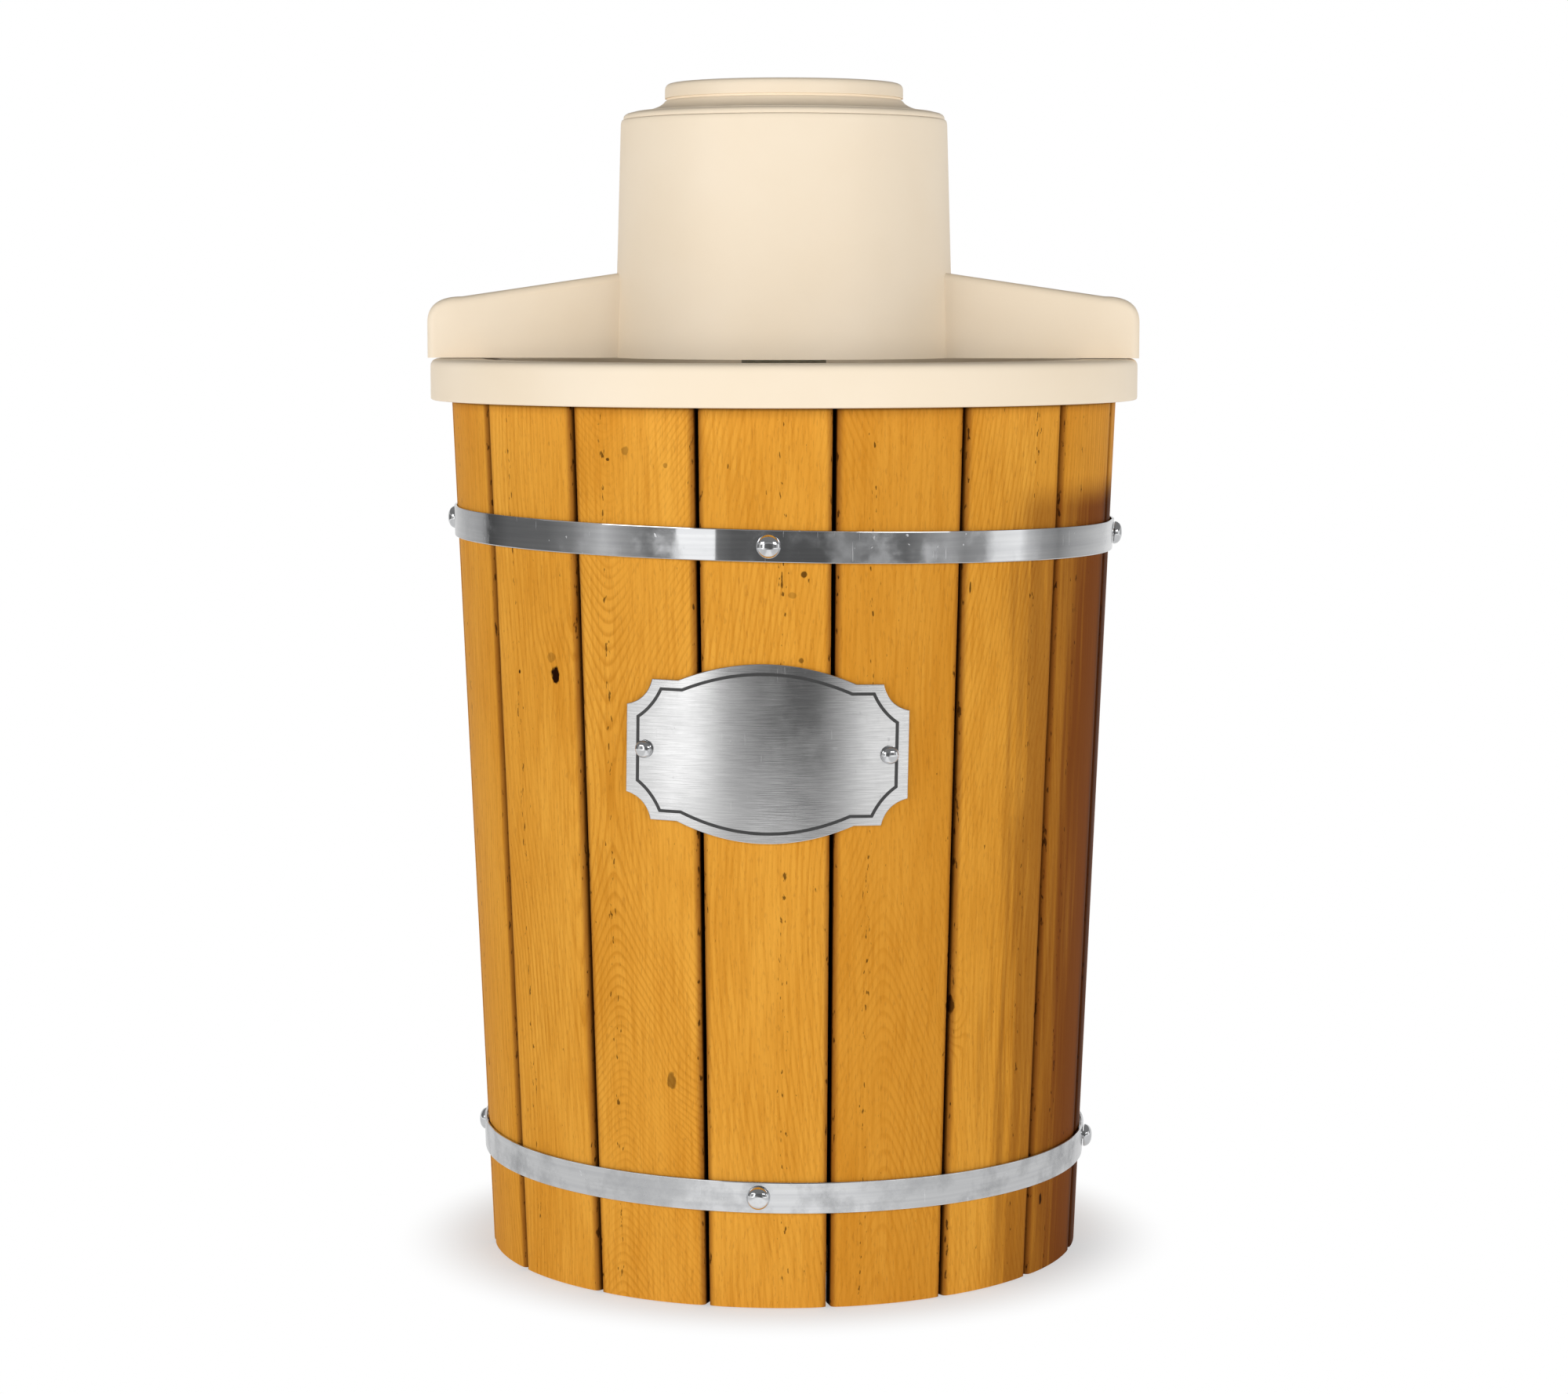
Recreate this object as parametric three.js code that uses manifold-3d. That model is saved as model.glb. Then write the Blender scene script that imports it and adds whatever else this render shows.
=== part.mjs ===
import * as THREE from "three";
import { mergeVertices } from "three/addons/utils/BufferGeometryUtils.js";
import Module from "manifold-3d";

// An electric bucket freezer for ice cream, in millimetres with +Z up.
// The floor is z = 0, the bucket's axis is the Z axis, the front looks towards -Y
// and the two arms of the motor head lie along X.

// Clearances: between fixed pieces that touch, and around pieces that turn or slide
const GAP = 0.3;
const RUN_GAP = 0.4;

// How far joined forms run into each other and cutting tools reach past, and a broken edge
const BITE = 1;
const EDGE_BREAK = 0.6;

// Bucket of staves
const STAVE_COUNT = 16;
const STAVE_THICKNESS = 10;
const STAVE_GAP = 1.3;
const STAVE_CROWN = 2.1;
const STAVE_EDGE = 1.8;
const BUCKET_BASE_RADIUS = 111;
const BUCKET_FLARE = 2.34;
const CROZE_HEIGHT = 12;
const CROZE_DEPTH = 3.5;
const BOTTOM_THICKNESS = 9;

// Hoops, riveted to every fourth stave
const HOOP_WIDTH = 11.3;
const HOOP_THICKNESS = 0.9;
const HOOP_CLEARANCE = 0.6;
const HOOP_RIVETS = 4;
const UPPER_HOOP_HEIGHT = 271.5;
const UPPER_HOOP_TILT = 1.2;
const UPPER_HOOP_TURN = 0.6;
const LOWER_HOOP_HEIGHT = 40.6;
const LOWER_HOOP_TILT = 0.6;
const LOWER_HOOP_TURN = -1.5;
const RIVET_HEAD_RADIUS = 3.9;
const RIVET_HEAD_HEIGHT = 2.9;
const RIVET_SHANK_RADIUS = 1.5;
const RIVET_SHANK_LENGTH = 7;
const RIVET_EDGE_SHARE = 0.2;
const RIVET_CROWN_SHARE = 0.86;

// Label plate, bent round the front staves
const LABEL_HEIGHT = 199;
const LABEL_TURN = -1.1;
const LABEL_WIDTH = 98.8;
const LABEL_SHOULDER = 31.6;
const LABEL_NOTCH_ACROSS = 9;
const LABEL_NOTCH_DOWN = 9.3;
const LABEL_NOTCH_BITE = 0.35;
const LABEL_CROWN_WIDTH = 62;
const LABEL_CROWN_RISE = 6.7;
const LABEL_THICKNESS = 0.8;
const LABEL_RIVET_SPACING = 84.6;
const LABEL_RIVET_RADIUS = 3.1;
const LABEL_RIVET_HEIGHT = 2.4;

// Liner: a plastic tub whose rim caps the staves
const RIM_TOP = 334;
const RIM_OVERHANG = 7.35;
const RIM_HEIGHT = 15.1;
const RIM_WALL = 2.7;
const RIM_ROUNDING = 3.6;
const RIM_LIP = 2;
const LINER_WALL = 2.2;
const LINER_CLEARANCE = 1.2;
const LINER_CORNER = 6;
const PIVOT_RADIUS = 9;
const PIVOT_TAPER = 1.5;
const PIVOT_NOSE = 3;

// Drain, at the back, below the upper hoop
const DRAIN_BELOW_HOOP = 35.5;
const DRAIN_BORE = 5;
const DRAIN_WALL = 1.8;
const DRAIN_FLANGE_RADIUS = 10;
const DRAIN_FLANGE = 2;

// Canister and its lid
const CAN_RADIUS = 80;
const CAN_WALL = 1;
const CAN_TOP_BELOW_RIM = 18.2;
const CAN_CORNER = 7;
const CAN_BEAD = 1.6;
const CAN_FLOOR_GAP = 6;
const CAN_DIMPLE_DEPTH = 8;
const LID_THICKNESS = 2.5;
const LID_OVERHANG = 2.6;
const LID_SKIRT_DEPTH = 9;
const LID_SKIRT_WALL = 2.4;
const LID_BOSS_SLOPE = 5;

// Dasher: a frame that stands still while the canister turns round it
const DASHER_FRAME_THICKNESS = 8;
const DASHER_FLOOR_GAP = 1.4;
const DASHER_LID_GAP = 3;
const DASHER_RAIL = 9;
const DASHER_POST = 18;
const DASHER_WINDOWS = 4;
const DASHER_SLANT = 14;
const DASHER_STEM_RADIUS = 6.9;
const DASHER_HEX_ACROSS = 11.4;
const DASHER_HEX_LENGTH = 14;
const DASHER_HUB_RADIUS = 14;
const DASHER_HUB_HEIGHT = 14;
const DASHER_HUB_FOOT = 3;
const DASHER_CONE_WALL = 2.5;
const DASHER_CONE_TAPER = 2;
const SCRAPER_WIDTH = 13.9;
const SCRAPER_THICKNESS = 4;
const SCRAPER_ANGLE = 28;
const SCRAPER_CLEARANCE = 0.8;

// Claw coupling between the head's drive hub and the lid
const CLAWS = 4;
const CLAW_HEIGHT = 6.6;
const CLAW_INNER_RADIUS = 10;
const CLAW_SIDE_GAP = 2;

// Motor head: a round housing on two arms that rest on the rim
const HEAD_BODY_HEIGHT = 87.7;
const HEAD_ROOM = 3.8;
const HEAD_TAPER = 2.6;
const HEAD_WALL = 2.5;
const HEAD_EDGE_DROP = 2.5;
const HEAD_EDGE_INSET = 0.7;
const ARM_CORNER_LENGTH = 13;
const ARM_CORNER_DROP = 9.6;
const ARM_ROOT_HEIGHT = 30.9;
const ARM_END_HEIGHT = 22.7;
const ARM_ROOT_WIDTH = 34;
const ARM_END_WIDTH = 40;
const ARM_ROUNDING = 3;
const COVER_WALL = 2.2;
const COVER_INSET = 0.9;
const COVER_SHOULDER = 2.4;
const COVER_SHOULDER_WIDTH = 3.2;
const COVER_SPIGOT = 5;
const FLARE_STEP = 3.5;
const FLARE_WIDTH = 11;
const FLARE_HEIGHT = 4.6;
const FLARE_FOOT = 4;
const FLARE_NECK = 2;
const NECK_HEIGHT = 1;
const CAP_LIP = 1.3;
const CAP_HEIGHT = 5.5;
const CAP_ROUNDING = 3.2;
const CAP_CROWN = 0.4;

// Base plate under the head, its screws, tabs and air slots
const PLATE_RECESS = 2.2;
const PLATE_THICKNESS = 2.5;
const BOSSES = 4;
const BOSS_RADIUS = 4.2;
const BOSS_INSET = 4.6;
const SCREW_RADIUS = 1.5;
const SCREW_HEAD_RADIUS = 3;
const SCREW_HEAD_HEIGHT = 1.7;
const SCREW_LENGTH = 12;
const AIR_SLOTS = 5;
const AIR_SLOT_PITCH = 12;
const AIR_SLOT_START = 16;
const AIR_SLOT_WIDTH = 3;
const AIR_SLOT_LENGTH = 12;
const TAB_WIDTH = 14;
const TAB_THICKNESS = 2.2;
const TAB_LENGTH = 6;
const TAB_HEAD = 2.4;
const TAB_SHOULDER = 2;

// Cable gland at the back of the housing
const GLAND_HEIGHT = 32;
const GLAND_BORE = 2.9;
const GLAND_WALL = 1.4;
const GLAND_FLANGE_RADIUS = 6.4;
const GLAND_FLANGE = 1.6;
const GLAND_LENGTH = 7;

// Gear train: motor pinion, first gear, second gear and the drive gear on the axis
const MODULE = 1.5;
const PRESSURE_ANGLE = 20;
const BACKLASH = 0.34;
const ADDENDUM_SHARE = 0.88;
const DEDENDUM_SHARE = 1.25;
const SHIFT_SHARE = 0.38;
const FLANK_MIDDLE_SHARE = 1.04;
const PINION_TEETH = 10;
const FIRST_TEETH = 30;
const SECOND_TEETH = 25;
const DRIVE_TEETH = 40;
const FIRST_GEAR_WIDTH = 5;
const SECOND_GEAR_WIDTH = 4.5;
const DRIVE_GEAR_WIDTH = 6;
const GEAR_END_GAP = 0.6;
const GEAR_PIN_RADIUS = 1.9;
const PIN_HOLE_FLOOR = 0.8;
const DRIVE_POST_RADIUS = 9;
const DRIVE_HUB_WALL = 6.6;
const DRIVE_HUB_DROP = 3.4;
const GEARBOX_PLATE_THICKNESS = 2.5;
const MOTOR_PLATE_THICKNESS = 2.5;
const MOTOR_PLATE_ROOM = 10.8;
const COLUMN_RADIUS = 4;
const COLUMN_INSET = 6;
const COLUMN_TURNS = [110, 180, 250];

// Motor and its fan
const MOTOR_RADIUS = 27;
const MOTOR_WALL = 1.5;
const MOTOR_LENGTH = 40;
const MOTOR_CORNER = 3;
const MOTOR_FLANGE_WIDTH = 8;
const MOTOR_FLANGE = 2;
const MOTOR_BOSS_WALL = 4;
const MOTOR_BOSS_HEIGHT = 2;
const ARMATURE_SIDE_GAP = 4.5;
const ARMATURE_END_GAP = 6;
const SHAFT_RADIUS = 2.5;
const SHAFT_ABOVE_MOTOR = 10;
const FAN_RADIUS = 24;
const FAN_HUB_RADIUS = 6;
const FAN_BLADES = 6;
const FAN_HEIGHT = 6;
const FAN_BLADE_THICKNESS = 1.2;
const FAN_BLADE_PITCH = 35;

// Facets round a turn
const ROUND_LARGE = 32;
const ROUND_BAND = 48;
const ROUND_LABEL = 48;
const ROUND_CAN = 24;
const ROUND_MEDIUM = 18;
const ROUND_SMALL = 10;
const ROUND_TINY = 8;
const HEX = 6;

const RAD = Math.PI / 180;
const FRONT = -90 * RAD;
const HALF_STAVE = Math.PI / STAVE_COUNT;

// Sizes that follow from those above
const flareSlope = Math.tan(BUCKET_FLARE * RAD);
const RIM_RADIUS = wallRadius(RIM_TOP) + RIM_OVERHANG;
const RIM_BOTTOM = RIM_TOP - RIM_HEIGHT;
const STAVE_LENGTH = RIM_TOP - RIM_WALL - GAP;
const GEAR_REACH = centreDistance(DRIVE_TEETH) + tipRadius(SECOND_TEETH, -SHIFT_SHARE);
const HEAD_BASE_RADIUS = GEAR_REACH + HEAD_ROOM + HEAD_WALL;
const HEAD_TOP_RADIUS = HEAD_BASE_RADIUS - HEAD_TAPER;
const BOSS_CIRCLE = HEAD_BASE_RADIUS - HEAD_WALL - BOSS_INSET;
const MOTOR_PLATE_RADIUS = HEAD_BASE_RADIUS - HEAD_WALL - MOTOR_PLATE_ROOM;
const MOTOR_SCREW_CIRCLE = MOTOR_RADIUS + MOTOR_FLANGE_WIDTH / 2;
const ARMATURE_RADIUS = MOTOR_RADIUS - MOTOR_WALL - ARMATURE_SIDE_GAP;

const wasm = await Module();
wasm.setup();

// A closed three.js geometry as a solid that can be cut and joined
function solidOf(geometry) {
  const bare = geometry.clone();
  bare.deleteAttribute("normal");
  bare.deleteAttribute("uv");
  const merged = mergeVertices(bare, 1e-4);
  const kept = [];
  const corners = merged.index.array;
  for (let i = 0; i < corners.length; i += 3) {
    const [a, b, c] = [corners[i], corners[i + 1], corners[i + 2]];
    if (a !== b && b !== c && c !== a) {
      kept.push(a, b, c);
    }
  }
  const vertProperties = merged.attributes.position.array;
  return new wasm.Manifold(new wasm.Mesh({ numProp: 3, vertProperties, triVerts: new Uint32Array(kept) }));
}

function geometryOf(solid) {
  const mesh = solid.getMesh();
  const geometry = new THREE.BufferGeometry();
  geometry.setAttribute("position", new THREE.BufferAttribute(mesh.vertProperties, 3));
  geometry.setIndex(new THREE.BufferAttribute(mesh.triVerts, 1));
  geometry.computeVertexNormals();
  return geometry;
}

function join(...geometries) {
  return geometryOf(geometries.map(solidOf).reduce((all, one) => all.add(one)));
}

function cut(geometry, ...tools) {
  return geometryOf(tools.map(solidOf).reduce((rest, tool) => rest.subtract(tool), solidOf(geometry)));
}

function common(a, b) {
  return geometryOf(solidOf(a).intersect(solidOf(b)));
}

// A closed outline of (radius, height) points turned about the Z axis
function revolve(points, facets) {
  const outline = points.map(([radius, height]) => new THREE.Vector2(Math.max(radius, 0), height));
  const closed = outline[0].x > 0 || outline[outline.length - 1].x > 0;
  if (closed) {
    outline.push(outline[0].clone());
  }
  return new THREE.LatheGeometry(outline, facets).rotateX(Math.PI / 2);
}

// A quarter round between two corners of a turned outline, as points
function rounding(from, corner, to, steps = 3) {
  const curve = new THREE.QuadraticBezierCurve(
    new THREE.Vector2(...from),
    new THREE.Vector2(...corner),
    new THREE.Vector2(...to),
  );
  return curve.getPoints(steps).map((p) => [p.x, p.y]);
}

function disc(radius, low, high, facets) {
  return new THREE.CylinderGeometry(radius, radius, high - low, facets)
    .rotateX(Math.PI / 2)
    .translate(0, 0, (low + high) / 2);
}

function block(x, y, z) {
  return new THREE.BoxGeometry(x[1] - x[0], y[1] - y[0], z[1] - z[0])
    .translate((x[0] + x[1]) / 2, (y[0] + y[1]) / 2, (z[0] + z[1]) / 2);
}

// A flat outline raised from one height to another
function raised(shape, low, high, curveSegments = 4) {
  const settings = { depth: high - low, bevelEnabled: false, curveSegments };
  return new THREE.ExtrudeGeometry(shape, settings).translate(0, 0, low);
}

// Sections with equally many points, each at its height, skinned and capped
function loft(sections, heights) {
  const count = sections[0].length;
  const positions = sections.flatMap((section, k) => section.flatMap((p) => [p.x, p.y, heights[k]]));
  const index = [];
  for (let k = 0; k < sections.length - 1; k++) {
    for (let i = 0; i < count; i++) {
      const a = k * count + i;
      const b = k * count + ((i + 1) % count);
      index.push(a, b, b + count, a, b + count, a + count);
    }
  }
  const top = (sections.length - 1) * count;
  for (const [a, b, c] of THREE.ShapeUtils.triangulateShape(sections[0], [])) {
    index.push(c, b, a);
  }
  for (const [a, b, c] of THREE.ShapeUtils.triangulateShape(sections[sections.length - 1], [])) {
    index.push(top + a, top + b, top + c);
  }
  const geometry = new THREE.BufferGeometry();
  geometry.setAttribute("position", new THREE.Float32BufferAttribute(positions, 3));
  geometry.setIndex(index);
  return geometry;
}

// Bucket wall

function wallRadius(height) {
  return BUCKET_BASE_RADIUS + height * flareSlope;
}

// A place on the bucket's outer wall: local Z points straight out of the wall
function wallPlace(angle, height, standoff) {
  const outward = new THREE.Vector3(Math.cos(angle), Math.sin(angle), 0);
  const normal = outward.clone().multiplyScalar(Math.cos(BUCKET_FLARE * RAD));
  normal.z = -Math.sin(BUCKET_FLARE * RAD);
  const along = new THREE.Vector3(-Math.sin(angle), Math.cos(angle), 0);
  const up = normal.clone().cross(along);
  const place = new THREE.Matrix4().makeBasis(along, up, normal);
  const radius = wallRadius(height) + standoff;
  return place.setPosition(outward.x * radius, outward.y * radius, height);
}

// One stave's cross section, with the bucket's axis at the origin and the stave along +X
function staveSection(height) {
  const face = wallRadius(height);
  const inner = face - STAVE_THICKNESS;
  const edge = face - STAVE_CROWN;
  const side = (radius) => radius * Math.tan(HALF_STAVE) - STAVE_GAP / 2 / Math.cos(HALF_STAVE);
  const low = edge - STAVE_EDGE;
  const turn = side(edge) - STAVE_EDGE;
  const bow = (STAVE_CROWN * (side(edge) ** 2 - turn ** 2)) / side(edge) ** 2;
  const shape = new THREE.Shape();
  shape.moveTo(inner, -side(inner));
  shape.lineTo(low, -side(low));
  shape.quadraticCurveTo(edge, -side(edge), edge + bow, -turn);
  shape.quadraticCurveTo(face + STAVE_CROWN - bow, 0, edge + bow, turn);
  shape.quadraticCurveTo(edge, side(edge), low, side(low));
  shape.lineTo(inner, side(inner));
  const points = shape.getPoints(3);
  return points[0].equals(points[points.length - 1]) ? points.slice(0, -1) : points;
}

function bottomPlace() {
  const low = CROZE_HEIGHT + GAP;
  return { low, high: low + BOTTOM_THICKNESS };
}

function crozeRadius() {
  return wallRadius(CROZE_HEIGHT) - STAVE_THICKNESS + CROZE_DEPTH;
}

function staveBlank() {
  const blank = loft([staveSection(0), staveSection(STAVE_LENGTH)], [0, STAVE_LENGTH]);
  const { low, high } = bottomPlace();
  const across = BUCKET_BASE_RADIUS / 2;
  const deep = [crozeRadius() - 2 * STAVE_THICKNESS, crozeRadius()];
  return cut(blank, block(deep, [-across, across], [low - GAP, high + GAP]));
}

// Rivets: a domed head on a shank, with the head's seat at z = 0

function rivet(headRadius, headHeight) {
  const foot = -RIVET_SHANK_LENGTH;
  const edge = [headRadius, headHeight * RIVET_EDGE_SHARE];
  const crown = [headRadius * RIVET_CROWN_SHARE, headHeight];
  return revolve([
    [0, foot],
    [RIVET_SHANK_RADIUS, foot],
    [RIVET_SHANK_RADIUS, 0],
    [headRadius, 0],
    ...rounding(edge, crown, [0, headHeight], 2),
  ], ROUND_TINY);
}

function rivetHole() {
  return disc(RIVET_SHANK_RADIUS + GAP, -RIVET_SHANK_LENGTH - GAP, RIVET_HEAD_HEIGHT, ROUND_TINY);
}

// A hoop's own frame, tilted about Y and turned about its axis
function hoopFrame(height, tilt, turn) {
  const frame = new THREE.Matrix4().makeTranslation(0, 0, height);
  frame.multiply(new THREE.Matrix4().makeRotationY(tilt * RAD));
  frame.multiply(new THREE.Matrix4().makeRotationZ(turn * RAD));
  return frame.multiply(new THREE.Matrix4().makeTranslation(0, 0, -height));
}

function hoopBand(height) {
  const low = height - HOOP_WIDTH / 2;
  const high = height + HOOP_WIDTH / 2;
  const inside = (z) => wallRadius(z) + HOOP_CLEARANCE;
  const outline = [
    [inside(low), low],
    [inside(low) + HOOP_THICKNESS, low],
    [inside(high) + HOOP_THICKNESS, high],
    [inside(high), high],
  ];
  return revolve(outline, ROUND_BAND);
}

function hoopRivetPlaces(height, frame) {
  const standoff = HOOP_CLEARANCE + HOOP_THICKNESS + GAP;
  const places = [];
  for (let i = 0; i < HOOP_RIVETS; i++) {
    const angle = FRONT + (i * 2 * Math.PI) / HOOP_RIVETS;
    places.push(frame.clone().multiply(wallPlace(angle, height, standoff)));
  }
  return places;
}

// Label plate: an outline with concave corners and crowned ends, cut from a bent sheet

function labelOutline() {
  const halfWidth = LABEL_WIDTH / 2;
  const halfCrown = LABEL_CROWN_WIDTH / 2;
  const shoulder = LABEL_SHOULDER - LABEL_CROWN_RISE;
  const notchX = halfWidth - LABEL_NOTCH_ACROSS;
  const notchY = shoulder - LABEL_NOTCH_DOWN;
  const peak = shoulder + 2 * LABEL_CROWN_RISE;
  const insideX = notchX + LABEL_NOTCH_BITE * LABEL_NOTCH_ACROSS;
  const insideY = notchY + LABEL_NOTCH_BITE * LABEL_NOTCH_DOWN;
  const shape = new THREE.Shape();
  shape.moveTo(halfWidth, -notchY);
  shape.lineTo(halfWidth, notchY);
  shape.quadraticCurveTo(insideX, insideY, notchX, shoulder);
  shape.lineTo(halfCrown, shoulder);
  shape.quadraticCurveTo(0, peak, -halfCrown, shoulder);
  shape.lineTo(-notchX, shoulder);
  shape.quadraticCurveTo(-insideX, insideY, -halfWidth, notchY);
  shape.lineTo(-halfWidth, -notchY);
  shape.quadraticCurveTo(-insideX, -insideY, -notchX, -shoulder);
  shape.lineTo(-halfCrown, -shoulder);
  shape.quadraticCurveTo(0, -peak, halfCrown, -shoulder);
  shape.lineTo(notchX, -shoulder);
  shape.quadraticCurveTo(insideX, -insideY, halfWidth, -notchY);
  return shape;
}

function labelPlate() {
  const reach = LABEL_SHOULDER + LABEL_WIDTH * Math.sin(Math.abs(LABEL_TURN) * RAD);
  const low = LABEL_HEIGHT - reach;
  const high = LABEL_HEIGHT + reach;
  const inside = (z) => wallRadius(z) + HOOP_CLEARANCE;
  const sheet = revolve([
    [inside(low), low],
    [inside(low) + LABEL_THICKNESS, low],
    [inside(high) + LABEL_THICKNESS, high],
    [inside(high), high],
  ], ROUND_LABEL);
  const cutter = raised(labelOutline(), 0, RIM_RADIUS, 4)
    .rotateZ(LABEL_TURN * RAD)
    .rotateX(Math.PI / 2)
    .translate(0, 0, LABEL_HEIGHT);
  return common(sheet, cutter);
}

function labelRivetPlaces() {
  const standoff = HOOP_CLEARANCE + LABEL_THICKNESS + GAP;
  const angle = Math.asin(LABEL_RIVET_SPACING / 2 / wallRadius(LABEL_HEIGHT));
  const drop = (LABEL_RIVET_SPACING / 2) * Math.sin(LABEL_TURN * RAD);
  return [-1, 1].map((side) => wallPlace(FRONT + side * angle, LABEL_HEIGHT + side * drop, standoff));
}

// Liner, bottom board and drain

function linerRadius(height) {
  return wallRadius(height) - STAVE_THICKNESS - LINER_CLEARANCE;
}

function linerFloor() {
  return bottomPlace().high + GAP + LINER_WALL;
}

function canFloor() {
  return linerFloor() + CAN_FLOOR_GAP;
}

function liner() {
  const bottom = linerFloor() - LINER_WALL;
  const floor = linerFloor();
  const under = RIM_TOP - RIM_WALL;
  const skirt = RIM_RADIUS - RIM_WALL;
  const inner = (z) => linerRadius(z) - LINER_WALL;
  const pivotTop = canFloor() + CAN_DIMPLE_DEPTH - GAP;
  const lip = inner(RIM_TOP);
  const roundLow = RIM_TOP - RIM_ROUNDING;
  const profile = [
    [0, bottom],
    [linerRadius(bottom) - LINER_CORNER, bottom],
    [linerRadius(bottom + LINER_CORNER), bottom + LINER_CORNER],
    [linerRadius(under), under],
    [skirt, under],
    [skirt, RIM_BOTTOM],
    [RIM_RADIUS - EDGE_BREAK, RIM_BOTTOM],
    [RIM_RADIUS, RIM_BOTTOM + EDGE_BREAK],
    ...rounding([RIM_RADIUS, roundLow], [RIM_RADIUS, RIM_TOP], [RIM_RADIUS - RIM_ROUNDING, RIM_TOP]),
    [lip + RIM_LIP, RIM_TOP],
    [lip, RIM_TOP - RIM_LIP],
    [inner(floor + LINER_CORNER), floor + LINER_CORNER],
    [inner(floor) - LINER_CORNER, floor],
    [PIVOT_RADIUS + PIVOT_TAPER, floor],
    [PIVOT_RADIUS, floor + PIVOT_TAPER],
    [PIVOT_RADIUS, pivotTop - PIVOT_NOSE],
    [PIVOT_RADIUS - PIVOT_NOSE, pivotTop],
    [0, pivotTop],
  ];
  const slots = [-1, 1].map((side) => tabSlot(side, under - BITE, RIM_TOP + BITE));
  return cut(revolve(profile, ROUND_LARGE), ...slots, drainHole(DRAIN_BORE + DRAIN_WALL + GAP));
}

function bottomBoard() {
  const { low, high } = bottomPlace();
  const corner = (crozeRadius() - GAP) / Math.cos(HALF_STAVE);
  return disc(corner, low, high, STAVE_COUNT).rotateZ(HALF_STAVE);
}

const drainHeight = UPPER_HOOP_HEIGHT - DRAIN_BELOW_HOOP;

function drainHole(radius) {
  const length = 4 * STAVE_THICKNESS;
  return disc(radius, -length, length, ROUND_SMALL).applyMatrix4(wallPlace(-FRONT, drainHeight, 0));
}

function drainBush() {
  const tail = -(STAVE_THICKNESS + LINER_CLEARANCE + LINER_WALL + BITE);
  const tube = DRAIN_BORE + DRAIN_WALL;
  const outline = [
    [DRAIN_BORE, tail],
    [tube, tail],
    [tube, GAP],
    [DRAIN_FLANGE_RADIUS, GAP],
    [DRAIN_FLANGE_RADIUS - EDGE_BREAK, DRAIN_FLANGE + GAP],
    [DRAIN_BORE, DRAIN_FLANGE + GAP],
  ];
  return revolve(outline, ROUND_SMALL);
}

// Canister, lid and dasher

const canTop = RIM_TOP - CAN_TOP_BELOW_RIM;
const lidTop = canTop + GAP + LID_THICKNESS;
const headBottom = RIM_TOP + GAP;
const clawRoot = headBottom - DRIVE_HUB_DROP;
const clawOuter = DRIVE_POST_RADIUS + RUN_GAP + DRIVE_HUB_WALL;
const stemTop = headBottom + PLATE_RECESS + PLATE_THICKNESS + DRIVE_GEAR_WIDTH;

function canister() {
  const base = canFloor();
  const inside = CAN_RADIUS - CAN_WALL;
  const dimple = PIVOT_RADIUS + RUN_GAP;
  const outline = [
    [0, base + CAN_DIMPLE_DEPTH],
    [dimple, base + CAN_DIMPLE_DEPTH],
    [dimple + PIVOT_TAPER, base],
    ...rounding([CAN_RADIUS - CAN_CORNER, base], [CAN_RADIUS, base], [CAN_RADIUS, base + CAN_CORNER], 2),
    [CAN_RADIUS, canTop - 2 * CAN_BEAD],
    [CAN_RADIUS + CAN_BEAD, canTop - CAN_BEAD],
    [CAN_RADIUS, canTop],
    [inside, canTop],
    ...rounding(
      [inside, base + CAN_CORNER],
      [inside, base + CAN_WALL],
      [CAN_RADIUS - CAN_CORNER, base + CAN_WALL],
      2,
    ),
    [dimple + PIVOT_TAPER + CAN_WALL, base + CAN_WALL],
    [dimple + CAN_WALL, base + CAN_DIMPLE_DEPTH + CAN_WALL],
    [0, base + CAN_DIMPLE_DEPTH + CAN_WALL],
  ];
  return revolve(outline, ROUND_CAN);
}

// One ring of claws between two radii, with a small gap beside each claw
function claws(low, high, turn) {
  const step = Math.PI / CLAWS;
  const half = step / 2 - (CLAW_SIDE_GAP / 2) * RAD;
  const rings = [];
  for (let i = 0; i < CLAWS; i++) {
    const shape = new THREE.Shape();
    shape.absarc(0, 0, clawOuter, -half, half, false);
    shape.absarc(0, 0, CLAW_INNER_RADIUS, half, -half, true);
    rings.push(raised(shape, low, high, 2).rotateZ(turn + i * 2 * step));
  }
  return rings;
}

function canisterLid() {
  const bottom = canTop + GAP;
  const skirt = CAN_RADIUS - CAN_WALL - RUN_GAP;
  const edge = CAN_RADIUS + LID_OVERHANG;
  const bore = DASHER_STEM_RADIUS + RUN_GAP;
  const bossTop = clawRoot - CLAW_HEIGHT - GAP;
  const outline = [
    [bore, bottom],
    [skirt - LID_SKIRT_WALL, bottom],
    [skirt - LID_SKIRT_WALL, bottom - LID_SKIRT_DEPTH],
    [skirt, bottom - LID_SKIRT_DEPTH],
    [skirt, bottom],
    [edge, bottom],
    [edge, lidTop - EDGE_BREAK],
    [edge - EDGE_BREAK, lidTop],
    [clawOuter + LID_BOSS_SLOPE, lidTop],
    [clawOuter, bossTop],
    [bore, bossTop],
  ];
  return join(revolve(outline, ROUND_CAN), ...claws(bossTop - BITE, clawRoot - GAP, 0));
}

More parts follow.
